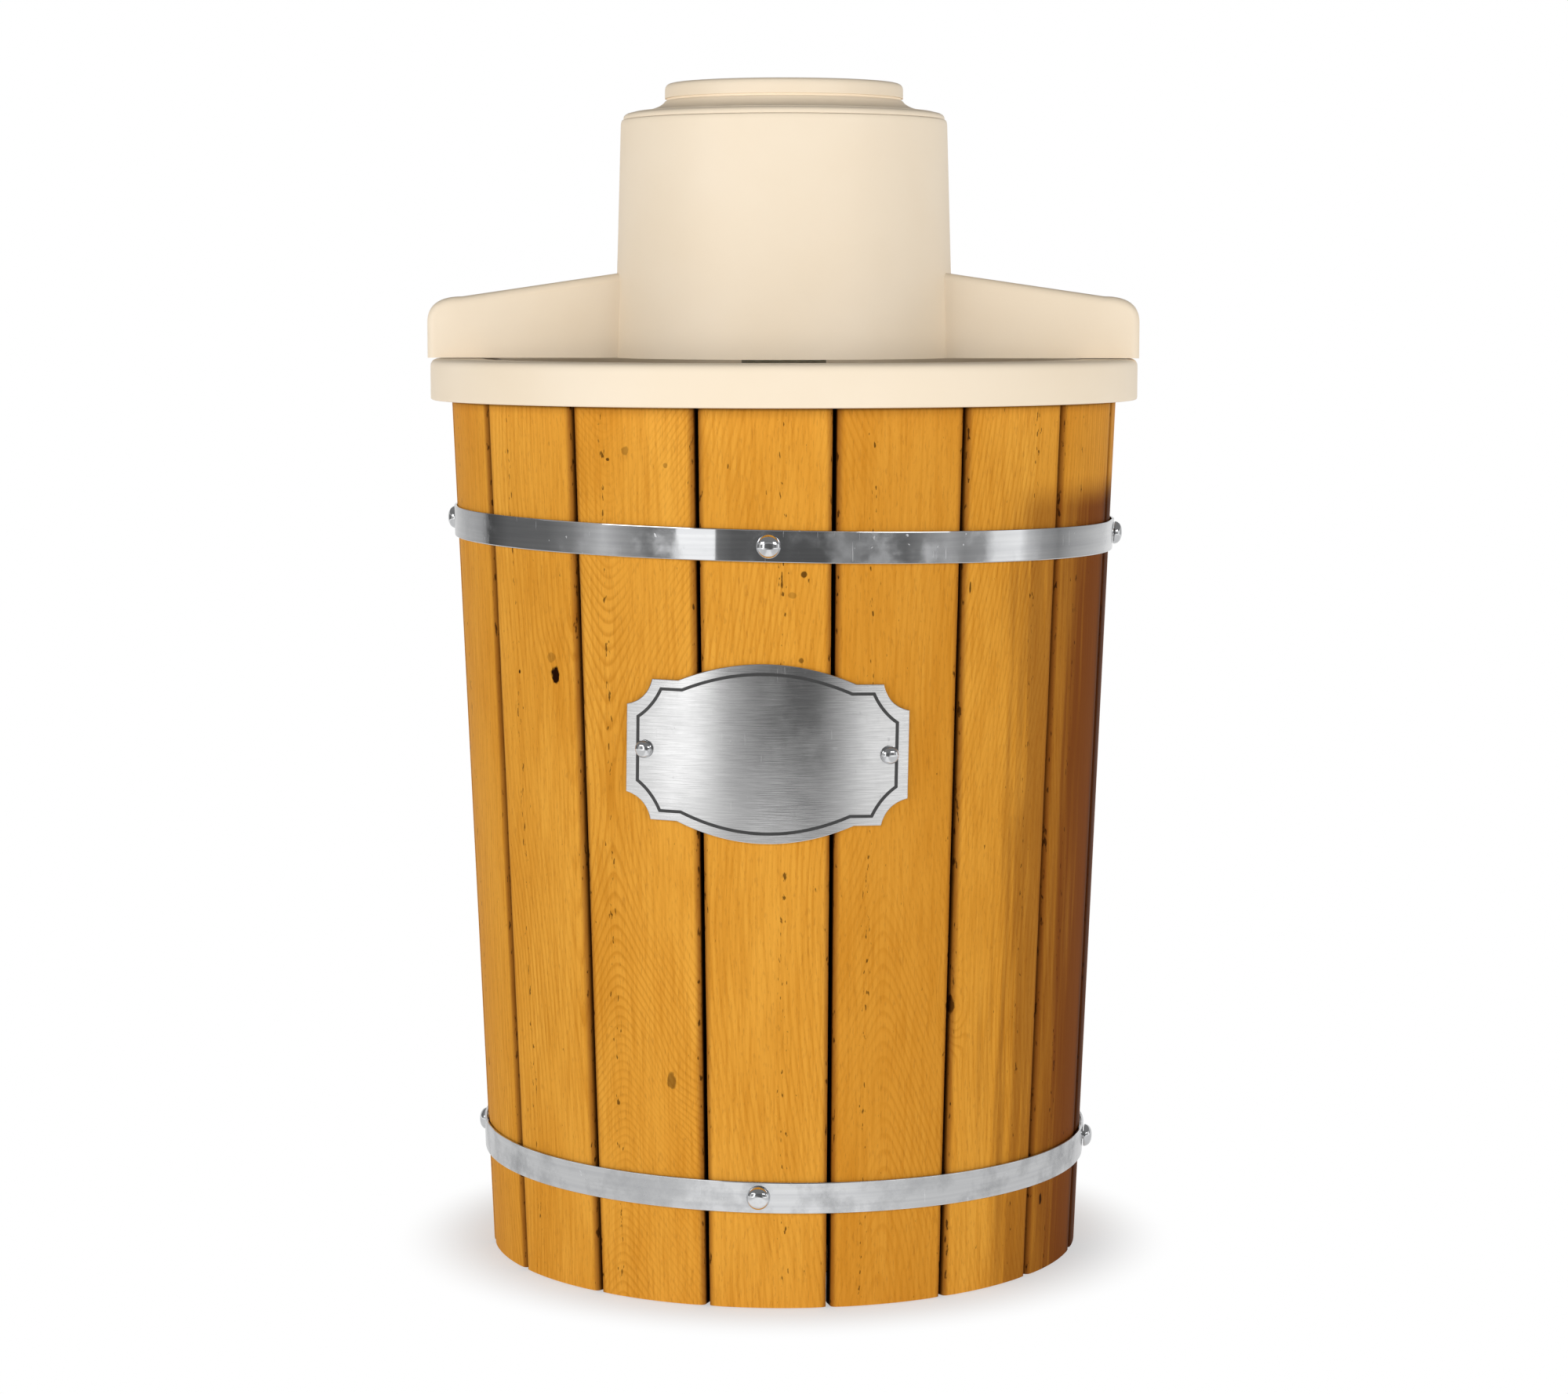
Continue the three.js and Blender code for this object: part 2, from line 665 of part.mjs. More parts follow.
function roundedFrame(halfWidth, low, high, corner) {
  const shape = new THREE.Shape();
  shape.moveTo(halfWidth, low + corner);
  shape.lineTo(halfWidth, high - corner);
  shape.quadraticCurveTo(halfWidth, high, halfWidth - corner, high);
  shape.lineTo(-halfWidth + corner, high);
  shape.quadraticCurveTo(-halfWidth, high, -halfWidth, high - corner);
  shape.lineTo(-halfWidth, low + corner);
  shape.quadraticCurveTo(-halfWidth, low, -halfWidth + corner, low);
  shape.lineTo(halfWidth - corner, low);
  shape.quadraticCurveTo(halfWidth, low, halfWidth, low + corner);
  return shape;
}

const dasherLow = canFloor() + CAN_WALL + DASHER_FLOOR_GAP;
const dasherHigh = canTop - LID_SKIRT_DEPTH - DASHER_LID_GAP;
const scraperReach = CAN_RADIUS - CAN_WALL - SCRAPER_CLEARANCE;
const scraperRoot = scraperReach - SCRAPER_WIDTH;
const dasherHalf = scraperRoot - GAP;

// Windows on both sides of the post, with slanted bars that lift the mix
function dasherFrame() {
  const shape = roundedFrame(dasherHalf, dasherLow, dasherHigh, DASHER_RAIL);
  const near = DASHER_POST / 2;
  const far = dasherHalf - DASHER_RAIL;
  const low = dasherLow + DASHER_RAIL + DASHER_HUB_HEIGHT;
  const pitch = (dasherHigh - DASHER_RAIL - DASHER_SLANT - low + DASHER_RAIL) / DASHER_WINDOWS;
  for (const side of [-1, 1]) {
    for (let i = 0; i < DASHER_WINDOWS; i++) {
      const foot = low + i * pitch;
      const head = foot + pitch - DASHER_RAIL;
      const rise = side > 0 ? DASHER_SLANT : 0;
      const fall = DASHER_SLANT - rise;
      const window = new THREE.Path();
      window.moveTo(side * near, foot + fall);
      window.lineTo(side * far, foot + rise);
      window.lineTo(side * far, head + rise);
      window.lineTo(side * near, head + fall);
      window.closePath();
      shape.holes.push(window);
    }
  }
  const thick = DASHER_FRAME_THICKNESS / 2;
  const plate = raised(shape, -thick, thick, 3).rotateX(Math.PI / 2);
  const cone = canFloor() + CAN_DIMPLE_DEPTH + CAN_WALL + GAP;
  const mouth = PIVOT_RADIUS + RUN_GAP + CAN_WALL + DASHER_CONE_WALL;
  const hub = revolve([
    [mouth, dasherLow],
    [DASHER_HUB_RADIUS + DASHER_HUB_FOOT, dasherLow],
    [DASHER_HUB_RADIUS, dasherLow + DASHER_HUB_HEIGHT],
    [0, dasherLow + DASHER_HUB_HEIGHT],
    [0, cone],
    [mouth - DASHER_CONE_TAPER, cone],
  ], ROUND_MEDIUM);
  const room = disc(mouth, dasherLow - BITE, cone, ROUND_MEDIUM);
  const stem = disc(DASHER_STEM_RADIUS, dasherHigh - DASHER_RAIL, stemTop - DASHER_HEX_LENGTH, ROUND_SMALL);
  const hex = disc(DASHER_HEX_ACROSS / Math.sqrt(3), stemTop - DASHER_HEX_LENGTH - BITE, stemTop, HEX);
  return join(cut(plate, room), hub, stem, hex);
}

// A blade that leans from the frame's edge to the canister's wall
function scraper() {
  const lean = Math.tan(SCRAPER_ANGLE * RAD) * SCRAPER_WIDTH;
  const half = SCRAPER_THICKNESS / 2;
  const tip = Math.sqrt(scraperReach ** 2 - lean ** 2);
  const shape = new THREE.Shape();
  shape.moveTo(scraperRoot, -half);
  shape.lineTo(tip - half / 2, lean - 1.5 * half);
  shape.lineTo(tip, lean - half / 2);
  shape.lineTo(tip - 1.5 * half, lean + half / 2);
  shape.lineTo(scraperRoot, half);
  return raised(shape, dasherLow + DASHER_RAIL, dasherHigh - DASHER_RAIL);
}

// Heights inside the head, stacked from the base plate up

const plateLow = headBottom + PLATE_RECESS;
const plateHigh = plateLow + PLATE_THICKNESS;
const driveLow = plateHigh + RUN_GAP;
const driveHigh = driveLow + DRIVE_GEAR_WIDTH;
const secondLow = driveHigh + GEAR_END_GAP;
const secondHigh = secondLow + SECOND_GEAR_WIDTH;
const gearboxLow = secondHigh + GEAR_END_GAP;
const gearboxHigh = gearboxLow + GEARBOX_PLATE_THICKNESS;
const firstLow = gearboxHigh + GEAR_END_GAP;
const firstHigh = firstLow + FIRST_GEAR_WIDTH;
const motorPlateLow = firstHigh + 2 * GEAR_END_GAP;
const motorPlateHigh = motorPlateLow + MOTOR_PLATE_THICKNESS;
const motorLow = motorPlateHigh + GAP;
const motorHigh = motorLow + MOTOR_LENGTH;
const bodyTop = headBottom + HEAD_BODY_HEIGHT;

function headRadius(height) {
  return HEAD_BASE_RADIUS + ((HEAD_TOP_RADIUS - HEAD_BASE_RADIUS) * (height - headBottom)) / HEAD_BODY_HEIGHT;
}

// Side view of an arm, drawn inside the true outline by inset
function armOutline(inset) {
  const end = RIM_RADIUS - inset;
  const root = HEAD_BASE_RADIUS / 2;
  const foot = headBottom - 2 * ARM_ROUNDING;
  const rootTop = headBottom + ARM_ROOT_HEIGHT - inset;
  const endTop = headBottom + ARM_END_HEIGHT - inset;
  const slope = (rootTop - endTop) / (RIM_RADIUS - ARM_CORNER_LENGTH - HEAD_BASE_RADIUS);
  const shape = new THREE.Shape();
  shape.moveTo(root, foot);
  shape.lineTo(end, foot);
  shape.lineTo(end, endTop - ARM_CORNER_DROP);
  shape.quadraticCurveTo(end, endTop, end - ARM_CORNER_LENGTH, endTop);
  shape.lineTo(root, rootTop + (HEAD_BASE_RADIUS - root) * slope);
  return shape;
}

function arm(side, inset) {
  const round = inset > 0 ? 0 : ARM_ROUNDING;
  const half = ARM_ROOT_WIDTH / 2 - inset;
  const endHalf = ARM_END_WIDTH / 2 - inset;
  const settings = {
    depth: 2 * (half - round),
    curveSegments: 4,
    bevelEnabled: round > 0,
    bevelThickness: round,
    bevelSize: round,
    bevelOffset: -round,
    bevelSegments: 3,
  };
  const bar = new THREE.ExtrudeGeometry(armOutline(inset), settings)
    .translate(0, 0, round - half)
    .rotateX(Math.PI / 2);
  const place = bar.attributes.position;
  for (let i = 0; i < place.count; i++) {
    const along = Math.max(0, (place.getX(i) - HEAD_BASE_RADIUS) / (RIM_RADIUS - HEAD_BASE_RADIUS));
    place.setY(i, place.getY(i) * (1 + along * (endHalf / half - 1)));
  }
  return side > 0 ? bar : bar.rotateZ(Math.PI);
}

// The head's form, drawn in by inset: a drafted drum with its two arms
function headForm(inset, top) {
  const low = headBottom - 2 * ARM_ROUNDING;
  const drum = revolve([
    [0, low],
    [headRadius(low) - inset, low],
    [headRadius(top) - inset, top],
    [0, top],
  ], ROUND_LARGE);
  return join(drum, arm(1, inset), arm(-1, inset));
}

function bossAngles() {
  return Array.from({ length: BOSSES }, (_, i) => ((i + 0.5) * 2 * Math.PI) / BOSSES);
}

function atCircle(geometry, radius, angle) {
  return geometry.translate(radius * Math.cos(angle), radius * Math.sin(angle), 0);
}

function glandHole(radius) {
  const wall = HEAD_BASE_RADIUS;
  return disc(radius, wall - 2 * GLAND_LENGTH, wall + GLAND_LENGTH, ROUND_SMALL)
    .rotateX(-Math.PI / 2)
    .translate(0, 0, plateHigh + GLAND_HEIGHT);
}

function headHousing() {
  const below = block([-2 * RIM_RADIUS, 2 * RIM_RADIUS], [-RIM_RADIUS, RIM_RADIUS], [0, headBottom]);
  const edge = bodyTop - HEAD_EDGE_DROP;
  const inset = HEAD_TOP_RADIUS - HEAD_EDGE_INSET;
  const shoulder = revolve([
    ...rounding([inset, bodyTop], [HEAD_TOP_RADIUS, bodyTop], [headRadius(edge), edge], 2),
    [2 * HEAD_TOP_RADIUS, edge],
    [2 * HEAD_TOP_RADIUS, bodyTop + BITE],
    [inset, bodyTop + BITE],
  ], ROUND_LARGE);
  const shell = cut(headForm(0, bodyTop), headForm(HEAD_WALL, bodyTop + BITE), below, shoulder);
  const boss = disc(BOSS_RADIUS, plateHigh + GAP, gearboxLow - GAP, ROUND_TINY);
  const hole = disc(SCREW_RADIUS + GAP, 0, plateLow + SCREW_LENGTH + GAP, HEX);
  const bosses = bossAngles().map((angle) => atCircle(boss.clone(), BOSS_CIRCLE, angle));
  const holes = bossAngles().map((angle) => atCircle(hole.clone(), BOSS_CIRCLE, angle));
  return cut(join(shell, ...bosses), ...holes, glandHole(GLAND_BORE + GLAND_WALL + GAP));
}

function topCover() {
  const seat = bodyTop + GAP;
  const shoulderTop = seat + COVER_SHOULDER - GAP;
  const flareTop = shoulderTop + FLARE_HEIGHT;
  const neckTop = flareTop + NECK_HEIGHT;
  const capTop = neckTop + CAP_HEIGHT;
  const rim = HEAD_TOP_RADIUS - COVER_INSET;
  const spigot = HEAD_TOP_RADIUS - HEAD_WALL - RUN_GAP;
  const shoulder = HEAD_TOP_RADIUS - COVER_SHOULDER_WIDTH;
  const flare = shoulder - FLARE_STEP;
  const neck = flare - FLARE_WIDTH;
  const cap = neck + CAP_LIP;
  const flareFoot = shoulderTop + FLARE_FOOT / 4;
  const outline = [
    [0, capTop - COVER_WALL],
    [neck - COVER_WALL, capTop - COVER_WALL],
    [neck - COVER_WALL, flareTop - COVER_WALL],
    [spigot - COVER_WALL, shoulderTop - COVER_WALL],
    [spigot - COVER_WALL, seat - COVER_SPIGOT],
    [spigot, seat - COVER_SPIGOT],
    [spigot, seat],
    [rim, seat],
    ...rounding([rim, seat + GAP], [rim, shoulderTop], [shoulder, shoulderTop], 2),
    ...rounding([flare, shoulderTop], [flare - FLARE_FOOT, flareFoot], [neck + FLARE_NECK, flareTop], 2),
    [neck, flareTop],
    [neck, neckTop],
    [cap, neckTop],
    ...rounding([cap, capTop - CAP_ROUNDING], [cap, capTop], [cap - CAP_ROUNDING, capTop], 2),
    [0, capTop + CAP_CROWN],
  ];
  return revolve(outline, ROUND_LARGE);
}

// A flat bar across an arm, midway in the rim's hollow
function tabBar(side, thickness, width, heights) {
  const middle = (wallRadius(RIM_TOP) + RIM_RADIUS - RIM_WALL) / 2;
  const bar = block([middle - thickness / 2, middle + thickness / 2], [-width / 2, width / 2], heights);
  return bar.rotateZ(side > 0 ? 0 : Math.PI);
}

function tabSlot(side, low, high) {
  return tabBar(side, TAB_THICKNESS + 2 * RUN_GAP, TAB_WIDTH + 2 * RUN_GAP, [low, high]);
}

// A tongue that hangs by its head on the base plate
function locatingTab(side) {
  const seat = plateHigh + GAP;
  const tongue = tabBar(side, TAB_THICKNESS, TAB_WIDTH, [RIM_TOP - TAB_LENGTH, seat + TAB_HEAD / 2]);
  const head = tabBar(side, TAB_THICKNESS, TAB_WIDTH + 2 * TAB_SHOULDER, [seat, seat + TAB_HEAD]);
  return join(tongue, head);
}

function basePlate() {
  const slab = block([-2 * RIM_RADIUS, 2 * RIM_RADIUS], [-RIM_RADIUS, RIM_RADIUS], [plateLow, plateHigh]);
  const plate = common(slab, headForm(HEAD_WALL + GAP, bodyTop));
  const tools = [disc(clawOuter + RUN_GAP, 0, bodyTop, ROUND_MEDIUM)];
  for (const angle of bossAngles()) {
    tools.push(atCircle(disc(SCREW_RADIUS + GAP, 0, bodyTop, HEX), BOSS_CIRCLE, angle));
  }
  const start = clawOuter + AIR_SLOT_START;
  const half = AIR_SLOT_WIDTH / 2;
  for (let i = 0; i < AIR_SLOTS; i++) {
    const angle = -FRONT + (i - (AIR_SLOTS - 1) / 2) * AIR_SLOT_PITCH * RAD;
    tools.push(block([start, start + AIR_SLOT_LENGTH], [-half, half], [0, bodyTop]).rotateZ(angle));
  }
  tools.push(tabSlot(1, 0, bodyTop), tabSlot(-1, 0, bodyTop));
  tools.push(pinHole(secondAxis, plateLow + PIN_HOLE_FLOOR, bodyTop));
  return cut(plate, ...tools);
}

function pinHole(axis, low, high) {
  return disc(GEAR_PIN_RADIUS + GAP, low, high, HEX).translate(axis.x, axis.y, 0);
}

function screw(length) {
  const head = SCREW_HEAD_RADIUS;
  return revolve([
    [0, 0],
    [head - EDGE_BREAK, 0],
    [head, EDGE_BREAK],
    [head, SCREW_HEAD_HEIGHT],
    [SCREW_RADIUS, SCREW_HEAD_HEIGHT],
    [SCREW_RADIUS, SCREW_HEAD_HEIGHT + length - SCREW_RADIUS],
    [0, SCREW_HEAD_HEIGHT + length],
  ], HEX);
}

function cableGland() {
  const tube = GLAND_BORE + GLAND_WALL;
  return revolve([
    [GLAND_BORE, -GLAND_LENGTH],
    [tube, -GLAND_LENGTH],
    [tube, 0],
    [GLAND_FLANGE_RADIUS, 0],
    [GLAND_FLANGE_RADIUS, GLAND_FLANGE - EDGE_BREAK],
    [GLAND_FLANGE_RADIUS - EDGE_BREAK, GLAND_FLANGE],
    [GLAND_BORE, GLAND_FLANGE],
  ], ROUND_SMALL);
}

// Gears

function centreDistance(teeth) {
  return (MODULE * (teeth + PINION_TEETH)) / 2;
}

const driveToSecond = centreDistance(DRIVE_TEETH);
const secondToFirst = centreDistance(SECOND_TEETH);
const motorToFirst = centreDistance(FIRST_TEETH);

// The second gear's axis lies along +X, and the first gear's axis closes the triangle
const firstAngle = Math.acos(
  (driveToSecond ** 2 + motorToFirst ** 2 - secondToFirst ** 2) / (2 * driveToSecond * motorToFirst),
);
const secondAxis = new THREE.Vector2(driveToSecond, 0);
const firstAxis = new THREE.Vector2(motorToFirst * Math.cos(firstAngle), motorToFirst * Math.sin(firstAngle));

function tipRadius(teeth, shift) {
  return MODULE * (teeth / 2 + ADDENDUM_SHARE + shift);
}

function involute(angle) {
  return Math.tan(angle) - angle;
}

// A gear's outline; flanks run between the root, a middle and the tip radius
function gearShape(teeth, shift, phase, middle) {
  const pressure = PRESSURE_ANGLE * RAD;
  const pitch = (MODULE * teeth) / 2;
  const base = pitch * Math.cos(pressure);
  const tip = tipRadius(teeth, shift);
  const root = pitch - MODULE * (DEDENDUM_SHARE - shift);
  const centre = Math.PI / 2 / teeth + (2 * shift * Math.tan(pressure)) / teeth - BACKLASH / 2 / pitch;
  const halfAngle = (radius) => {
    const lean = Math.acos(base / Math.max(radius, base));
    return centre + involute(pressure) - involute(lean);
  };
  const radii = middle ? [root, Math.max(base, root) * FLANK_MIDDLE_SHARE, tip] : [root, tip];
  const at = (radius, angle) => new THREE.Vector2(radius * Math.cos(angle), radius * Math.sin(angle));
  const points = [];
  for (let i = 0; i < teeth; i++) {
    const axis = phase + (i * 2 * Math.PI) / teeth;
    points.push(...radii.map((radius) => at(radius, axis - halfAngle(radius))));
    points.push(...radii.map((radius) => at(radius, axis + halfAngle(radius))).reverse());
  }
  return new THREE.Shape(points);
}

// The turn that puts a gap opposite the partner's tooth
function meshPhase(direction, partnerPhase, partnerTeeth, teeth) {
  return direction + Math.PI + Math.PI / teeth - ((partnerPhase - direction) * partnerTeeth) / teeth;
}

function wheel(teeth, phase, low, high) {
  return raised(gearShape(teeth, -SHIFT_SHARE, phase, false), low, high);
}

function pinion(phase, low, high) {
  return raised(gearShape(PINION_TEETH, SHIFT_SHARE, phase, true), low, high);
}

const secondPinionPhase = meshPhase(0, 0, DRIVE_TEETH, PINION_TEETH);
const toFirst = Math.atan2(firstAxis.y - secondAxis.y, firstAxis.x - secondAxis.x);
const firstPinionPhase = meshPhase(toFirst, 0, SECOND_TEETH, PINION_TEETH);
const motorPinionPhase = meshPhase(firstAngle + Math.PI, 0, FIRST_TEETH, PINION_TEETH);

function driveGear() {
  const bore = DRIVE_POST_RADIUS + RUN_GAP;
  const hub = revolve([
    [bore, clawRoot],
    [clawOuter, clawRoot],
    [clawOuter, driveHigh],
    [bore, driveHigh],
  ], ROUND_MEDIUM);
  const middle = disc(clawOuter - BITE, 0, bodyTop, ROUND_TINY);
  const ring = cut(wheel(DRIVE_TEETH, 0, driveLow, driveHigh), middle);
  return join(hub, ring, ...claws(clawRoot - CLAW_HEIGHT, clawRoot + BITE, Math.PI / CLAWS));
}

function secondGear() {
  const body = join(
    pinion(secondPinionPhase, driveLow, secondLow + BITE),
    wheel(SECOND_TEETH, 0, secondLow, secondHigh),
  );
  return cut(body, disc(GEAR_PIN_RADIUS + RUN_GAP, 0, bodyTop, ROUND_SMALL));
}

function firstGear() {
  const body = join(
    pinion(firstPinionPhase, secondLow, firstLow + BITE),
    wheel(FIRST_TEETH, 0, firstLow, firstHigh),
  );
  return cut(body, disc(GEAR_PIN_RADIUS + RUN_GAP, 0, bodyTop, ROUND_SMALL));
}

function motorPinion() {
  const body = pinion(motorPinionPhase, firstLow, firstHigh);
  return cut(body, disc(SHAFT_RADIUS + GAP, 0, bodyTop, ROUND_SMALL));
}

// Gearbox plate with the hanging post that holds the dasher still
function gearboxPlate() {
  const plate = disc(headRadius(gearboxHigh) - HEAD_WALL - GAP, gearboxLow, gearboxHigh, ROUND_LARGE);
  const post = disc(DRIVE_POST_RADIUS, clawRoot + GAP, gearboxLow + BITE, ROUND_MEDIUM);
  const socket = disc((DASHER_HEX_ACROSS + 2 * GAP) / Math.sqrt(3), 0, stemTop + GAP, HEX);
  const tip = tipRadius(PINION_TEETH, SHIFT_SHARE);
  const pass = disc(tip + GEAR_END_GAP, 0, bodyTop, ROUND_MEDIUM).translate(firstAxis.x, firstAxis.y, 0);
  return cut(join(plate, post), socket, pass, pinHole(secondAxis, 0, bodyTop));
}

// Motor plate on three columns that stand on the gearbox plate
function motorPlate() {
  const plate = disc(MOTOR_PLATE_RADIUS, motorPlateLow, motorPlateHigh, ROUND_MEDIUM);
  const column = disc(COLUMN_RADIUS, gearboxHigh + GAP, motorPlateLow + BITE, ROUND_TINY);
  const circle = MOTOR_PLATE_RADIUS - COLUMN_INSET;
  const columns = COLUMN_TURNS.map((turn) => atCircle(column.clone(), circle, firstAngle + turn * RAD));
  const shaftHole = disc(SHAFT_RADIUS + RUN_GAP, 0, bodyTop, ROUND_SMALL);
  const pin = pinHole(firstAxis, 0, motorPlateHigh - PIN_HOLE_FLOOR);
  return cut(join(plate, ...columns), shaftHole, pin, ...motorScrewHoles());
}

function motorScrewHoles() {
  const hole = disc(SCREW_RADIUS + GAP, 0, bodyTop, HEX);
  return [-1, 1].map((side) => hole.clone().translate(0, side * MOTOR_SCREW_CIRCLE, 0));
}

function motorCan() {
  const inside = MOTOR_RADIUS - MOTOR_WALL;
  const bore = SHAFT_RADIUS + RUN_GAP;
  const boss = bore + MOTOR_BOSS_WALL;
  const flange = MOTOR_RADIUS + MOTOR_FLANGE_WIDTH;
  const outline = [
    [inside, motorLow],
    [flange, motorLow],
    [flange, motorLow + MOTOR_FLANGE],
    [MOTOR_RADIUS, motorLow + MOTOR_FLANGE],
    [MOTOR_RADIUS, motorHigh - MOTOR_CORNER],
    [MOTOR_RADIUS - MOTOR_CORNER, motorHigh],
    [boss, motorHigh],
    [boss, motorHigh + MOTOR_BOSS_HEIGHT],
    [bore, motorHigh + MOTOR_BOSS_HEIGHT],
    [bore, motorHigh - MOTOR_WALL],
    [inside, motorHigh - MOTOR_WALL - MOTOR_CORNER / 2],
  ];
  return cut(revolve(outline, ROUND_MEDIUM), ...motorScrewHoles());
}

function motorRotor() {
  const top = motorHigh + SHAFT_ABOVE_MOTOR;
  const low = motorLow + ARMATURE_END_GAP;
  const high = motorHigh - ARMATURE_END_GAP;
  return revolve([
    [0, firstLow],
    [SHAFT_RADIUS, firstLow],
    [SHAFT_RADIUS, low],
    [ARMATURE_RADIUS, low],
    [ARMATURE_RADIUS, high],
    [SHAFT_RADIUS, high],
    [SHAFT_RADIUS, top],
    [0, top],
  ], ROUND_MEDIUM);
}

function coolingFan() {
  const low = motorHigh + SHAFT_ABOVE_MOTOR - FAN_HEIGHT;
  const hub = disc(FAN_HUB_RADIUS, low, low + FAN_HEIGHT, ROUND_SMALL);
  const blades = [];
  for (let i = 0; i < FAN_BLADES; i++) {
    const half = FAN_BLADE_THICKNESS / 2;
    const deep = FAN_HEIGHT / 2;
    const blade = block([FAN_HUB_RADIUS - BITE, FAN_RADIUS], [-half, half], [-deep, deep])
      .rotateX(FAN_BLADE_PITCH * RAD)
      .rotateZ((i * 2 * Math.PI) / FAN_BLADES)
      .translate(0, 0, low + deep);
    blades.push(blade);
  }
  return cut(join(hub, ...blades), disc(SHAFT_RADIUS + GAP, 0, 2 * bodyTop, ROUND_SMALL));
}

// Materials

function material(color, roughness, metalness) {
  return new THREE.MeshStandardMaterial({ color, roughness, metalness });
}

const wood = material(0xe3a03c, 0.5, 0);
const board = material(0xcaa56b, 0.7, 0);
const steel = material(0xc8cacc, 0.22, 1);
const chrome = material(0xdadcde, 0.12, 1);
const cream = material(0xf8e8cc, 0.4, 0);
const brass = material(0xb89a58, 0.3, 1);
const clear = material(0xe8ecee, 0.15, 0);
const white = material(0xf2f0ea, 0.45, 0);
const nylon = material(0xe6e2d4, 0.5, 0);
const black = material(0x26272a, 0.5, 0);
const zinc = material(0x9fa3a6, 0.35, 1);

const freezer = new THREE.Group();
const bucket = new THREE.Group();
const canisterGroup = new THREE.Group();
const head = new THREE.Group();
freezer.add(bucket, canisterGroup, head);

function add(group, name, geometry, finish) {
  const mesh = new THREE.Mesh(geometry, finish);
  mesh.name = name;
  group.add(mesh);
  return mesh;
}

// Bucket

const upperFrame = hoopFrame(UPPER_HOOP_HEIGHT, UPPER_HOOP_TILT, UPPER_HOOP_TURN);
const lowerFrame = hoopFrame(LOWER_HOOP_HEIGHT, LOWER_HOOP_TILT, LOWER_HOOP_TURN);
const upperRivets = hoopRivetPlaces(UPPER_HOOP_HEIGHT, upperFrame);
const lowerRivets = hoopRivetPlaces(LOWER_HOOP_HEIGHT, lowerFrame);
const labelRivets = labelRivetPlaces();
const holesAt = (places) => places.map((place) => rivetHole().applyMatrix4(place));
const allHoles = holesAt([...upperRivets, ...lowerRivets, ...labelRivets]);
allHoles.push(drainHole(DRAIN_BORE + DRAIN_WALL + GAP));

const blank = staveBlank();
for (let i = 0; i < STAVE_COUNT; i++) {
  const stave = cut(blank.clone().rotateZ(FRONT + i * 2 * HALF_STAVE), ...allHoles);
  add(bucket, `stave_${String(i + 1).padStart(2, "0")}`, stave, wood);
}

const hoopRivets = { upper: upperRivets, lower: lowerRivets };
for (const [level, places] of Object.entries(hoopRivets)) {
  places.forEach((place, i) => {
    const shape = rivet(RIVET_HEAD_RADIUS, RIVET_HEAD_HEIGHT);
    add(bucket, `${level}_hoop_rivet_${i + 1}`, shape, chrome).applyMatrix4(place);
  });
}
const upperBand = hoopBand(UPPER_HOOP_HEIGHT).applyMatrix4(upperFrame);
const lowerBand = hoopBand(LOWER_HOOP_HEIGHT).applyMatrix4(lowerFrame);
add(bucket, "upper_hoop", cut(upperBand, ...holesAt(upperRivets)), steel);
add(bucket, "lower_hoop", cut(lowerBand, ...holesAt(lowerRivets)), steel);

add(bucket, "label_plate", cut(labelPlate(), ...holesAt(labelRivets)), steel);
labelRivets.forEach((place, i) => {
  const shape = rivet(LABEL_RIVET_RADIUS, LABEL_RIVET_HEIGHT);
  add(bucket, `label_rivet_${i + 1}`, shape, chrome).applyMatrix4(place);
});
add(bucket, "bottom_board", bottomBoard(), board);
add(bucket, "liner", liner(), cream);
add(bucket, "drain_bush", drainBush(), cream).applyMatrix4(wallPlace(-FRONT, drainHeight, 0));

// Canister

add(canisterGroup, "canister", canister(), steel);
add(canisterGroup, "canister_lid", canisterLid(), clear);
add(canisterGroup, "dasher_frame", dasherFrame(), white);
add(canisterGroup, "scraper_right", scraper(), board);
add(canisterGroup, "scraper_left", scraper(), board).rotation.z = Math.PI;

// Motor head

add(head, "head_housing", headHousing(), cream);
add(head, "top_cover", topCover(), cream);
add(head, "base_plate", basePlate(), cream);
add(head, "gearbox_plate", gearboxPlate(), white);
add(head, "motor_plate", motorPlate(), zinc);
add(head, "motor_can", motorCan(), zinc);
add(head, "motor_rotor", motorRotor(), zinc);
add(head, "motor_pinion", motorPinion(), brass);
add(head, "cooling_fan", coolingFan(), black);
add(head, "first_gear", firstGear(), nylon).position.set(firstAxis.x, firstAxis.y, 0);
add(head, "second_gear", secondGear(), nylon).position.set(secondAxis.x, secondAxis.y, 0);
add(head, "drive_gear", driveGear(), nylon);
const firstPin = disc(GEAR_PIN_RADIUS, secondLow, motorPlateHigh - PIN_HOLE_FLOOR - GAP, ROUND_TINY);
const secondPin = disc(GEAR_PIN_RADIUS, plateLow + PIN_HOLE_FLOOR + GAP, gearboxHigh, ROUND_TINY);
add(head, "first_gear_pin", firstPin, zinc).position.set(firstAxis.x, firstAxis.y, 0);
add(head, "second_gear_pin", secondPin, zinc).position.set(secondAxis.x, secondAxis.y, 0);
add(head, "locating_tab_right", locatingTab(1), white);
add(head, "locating_tab_left", locatingTab(-1), white);

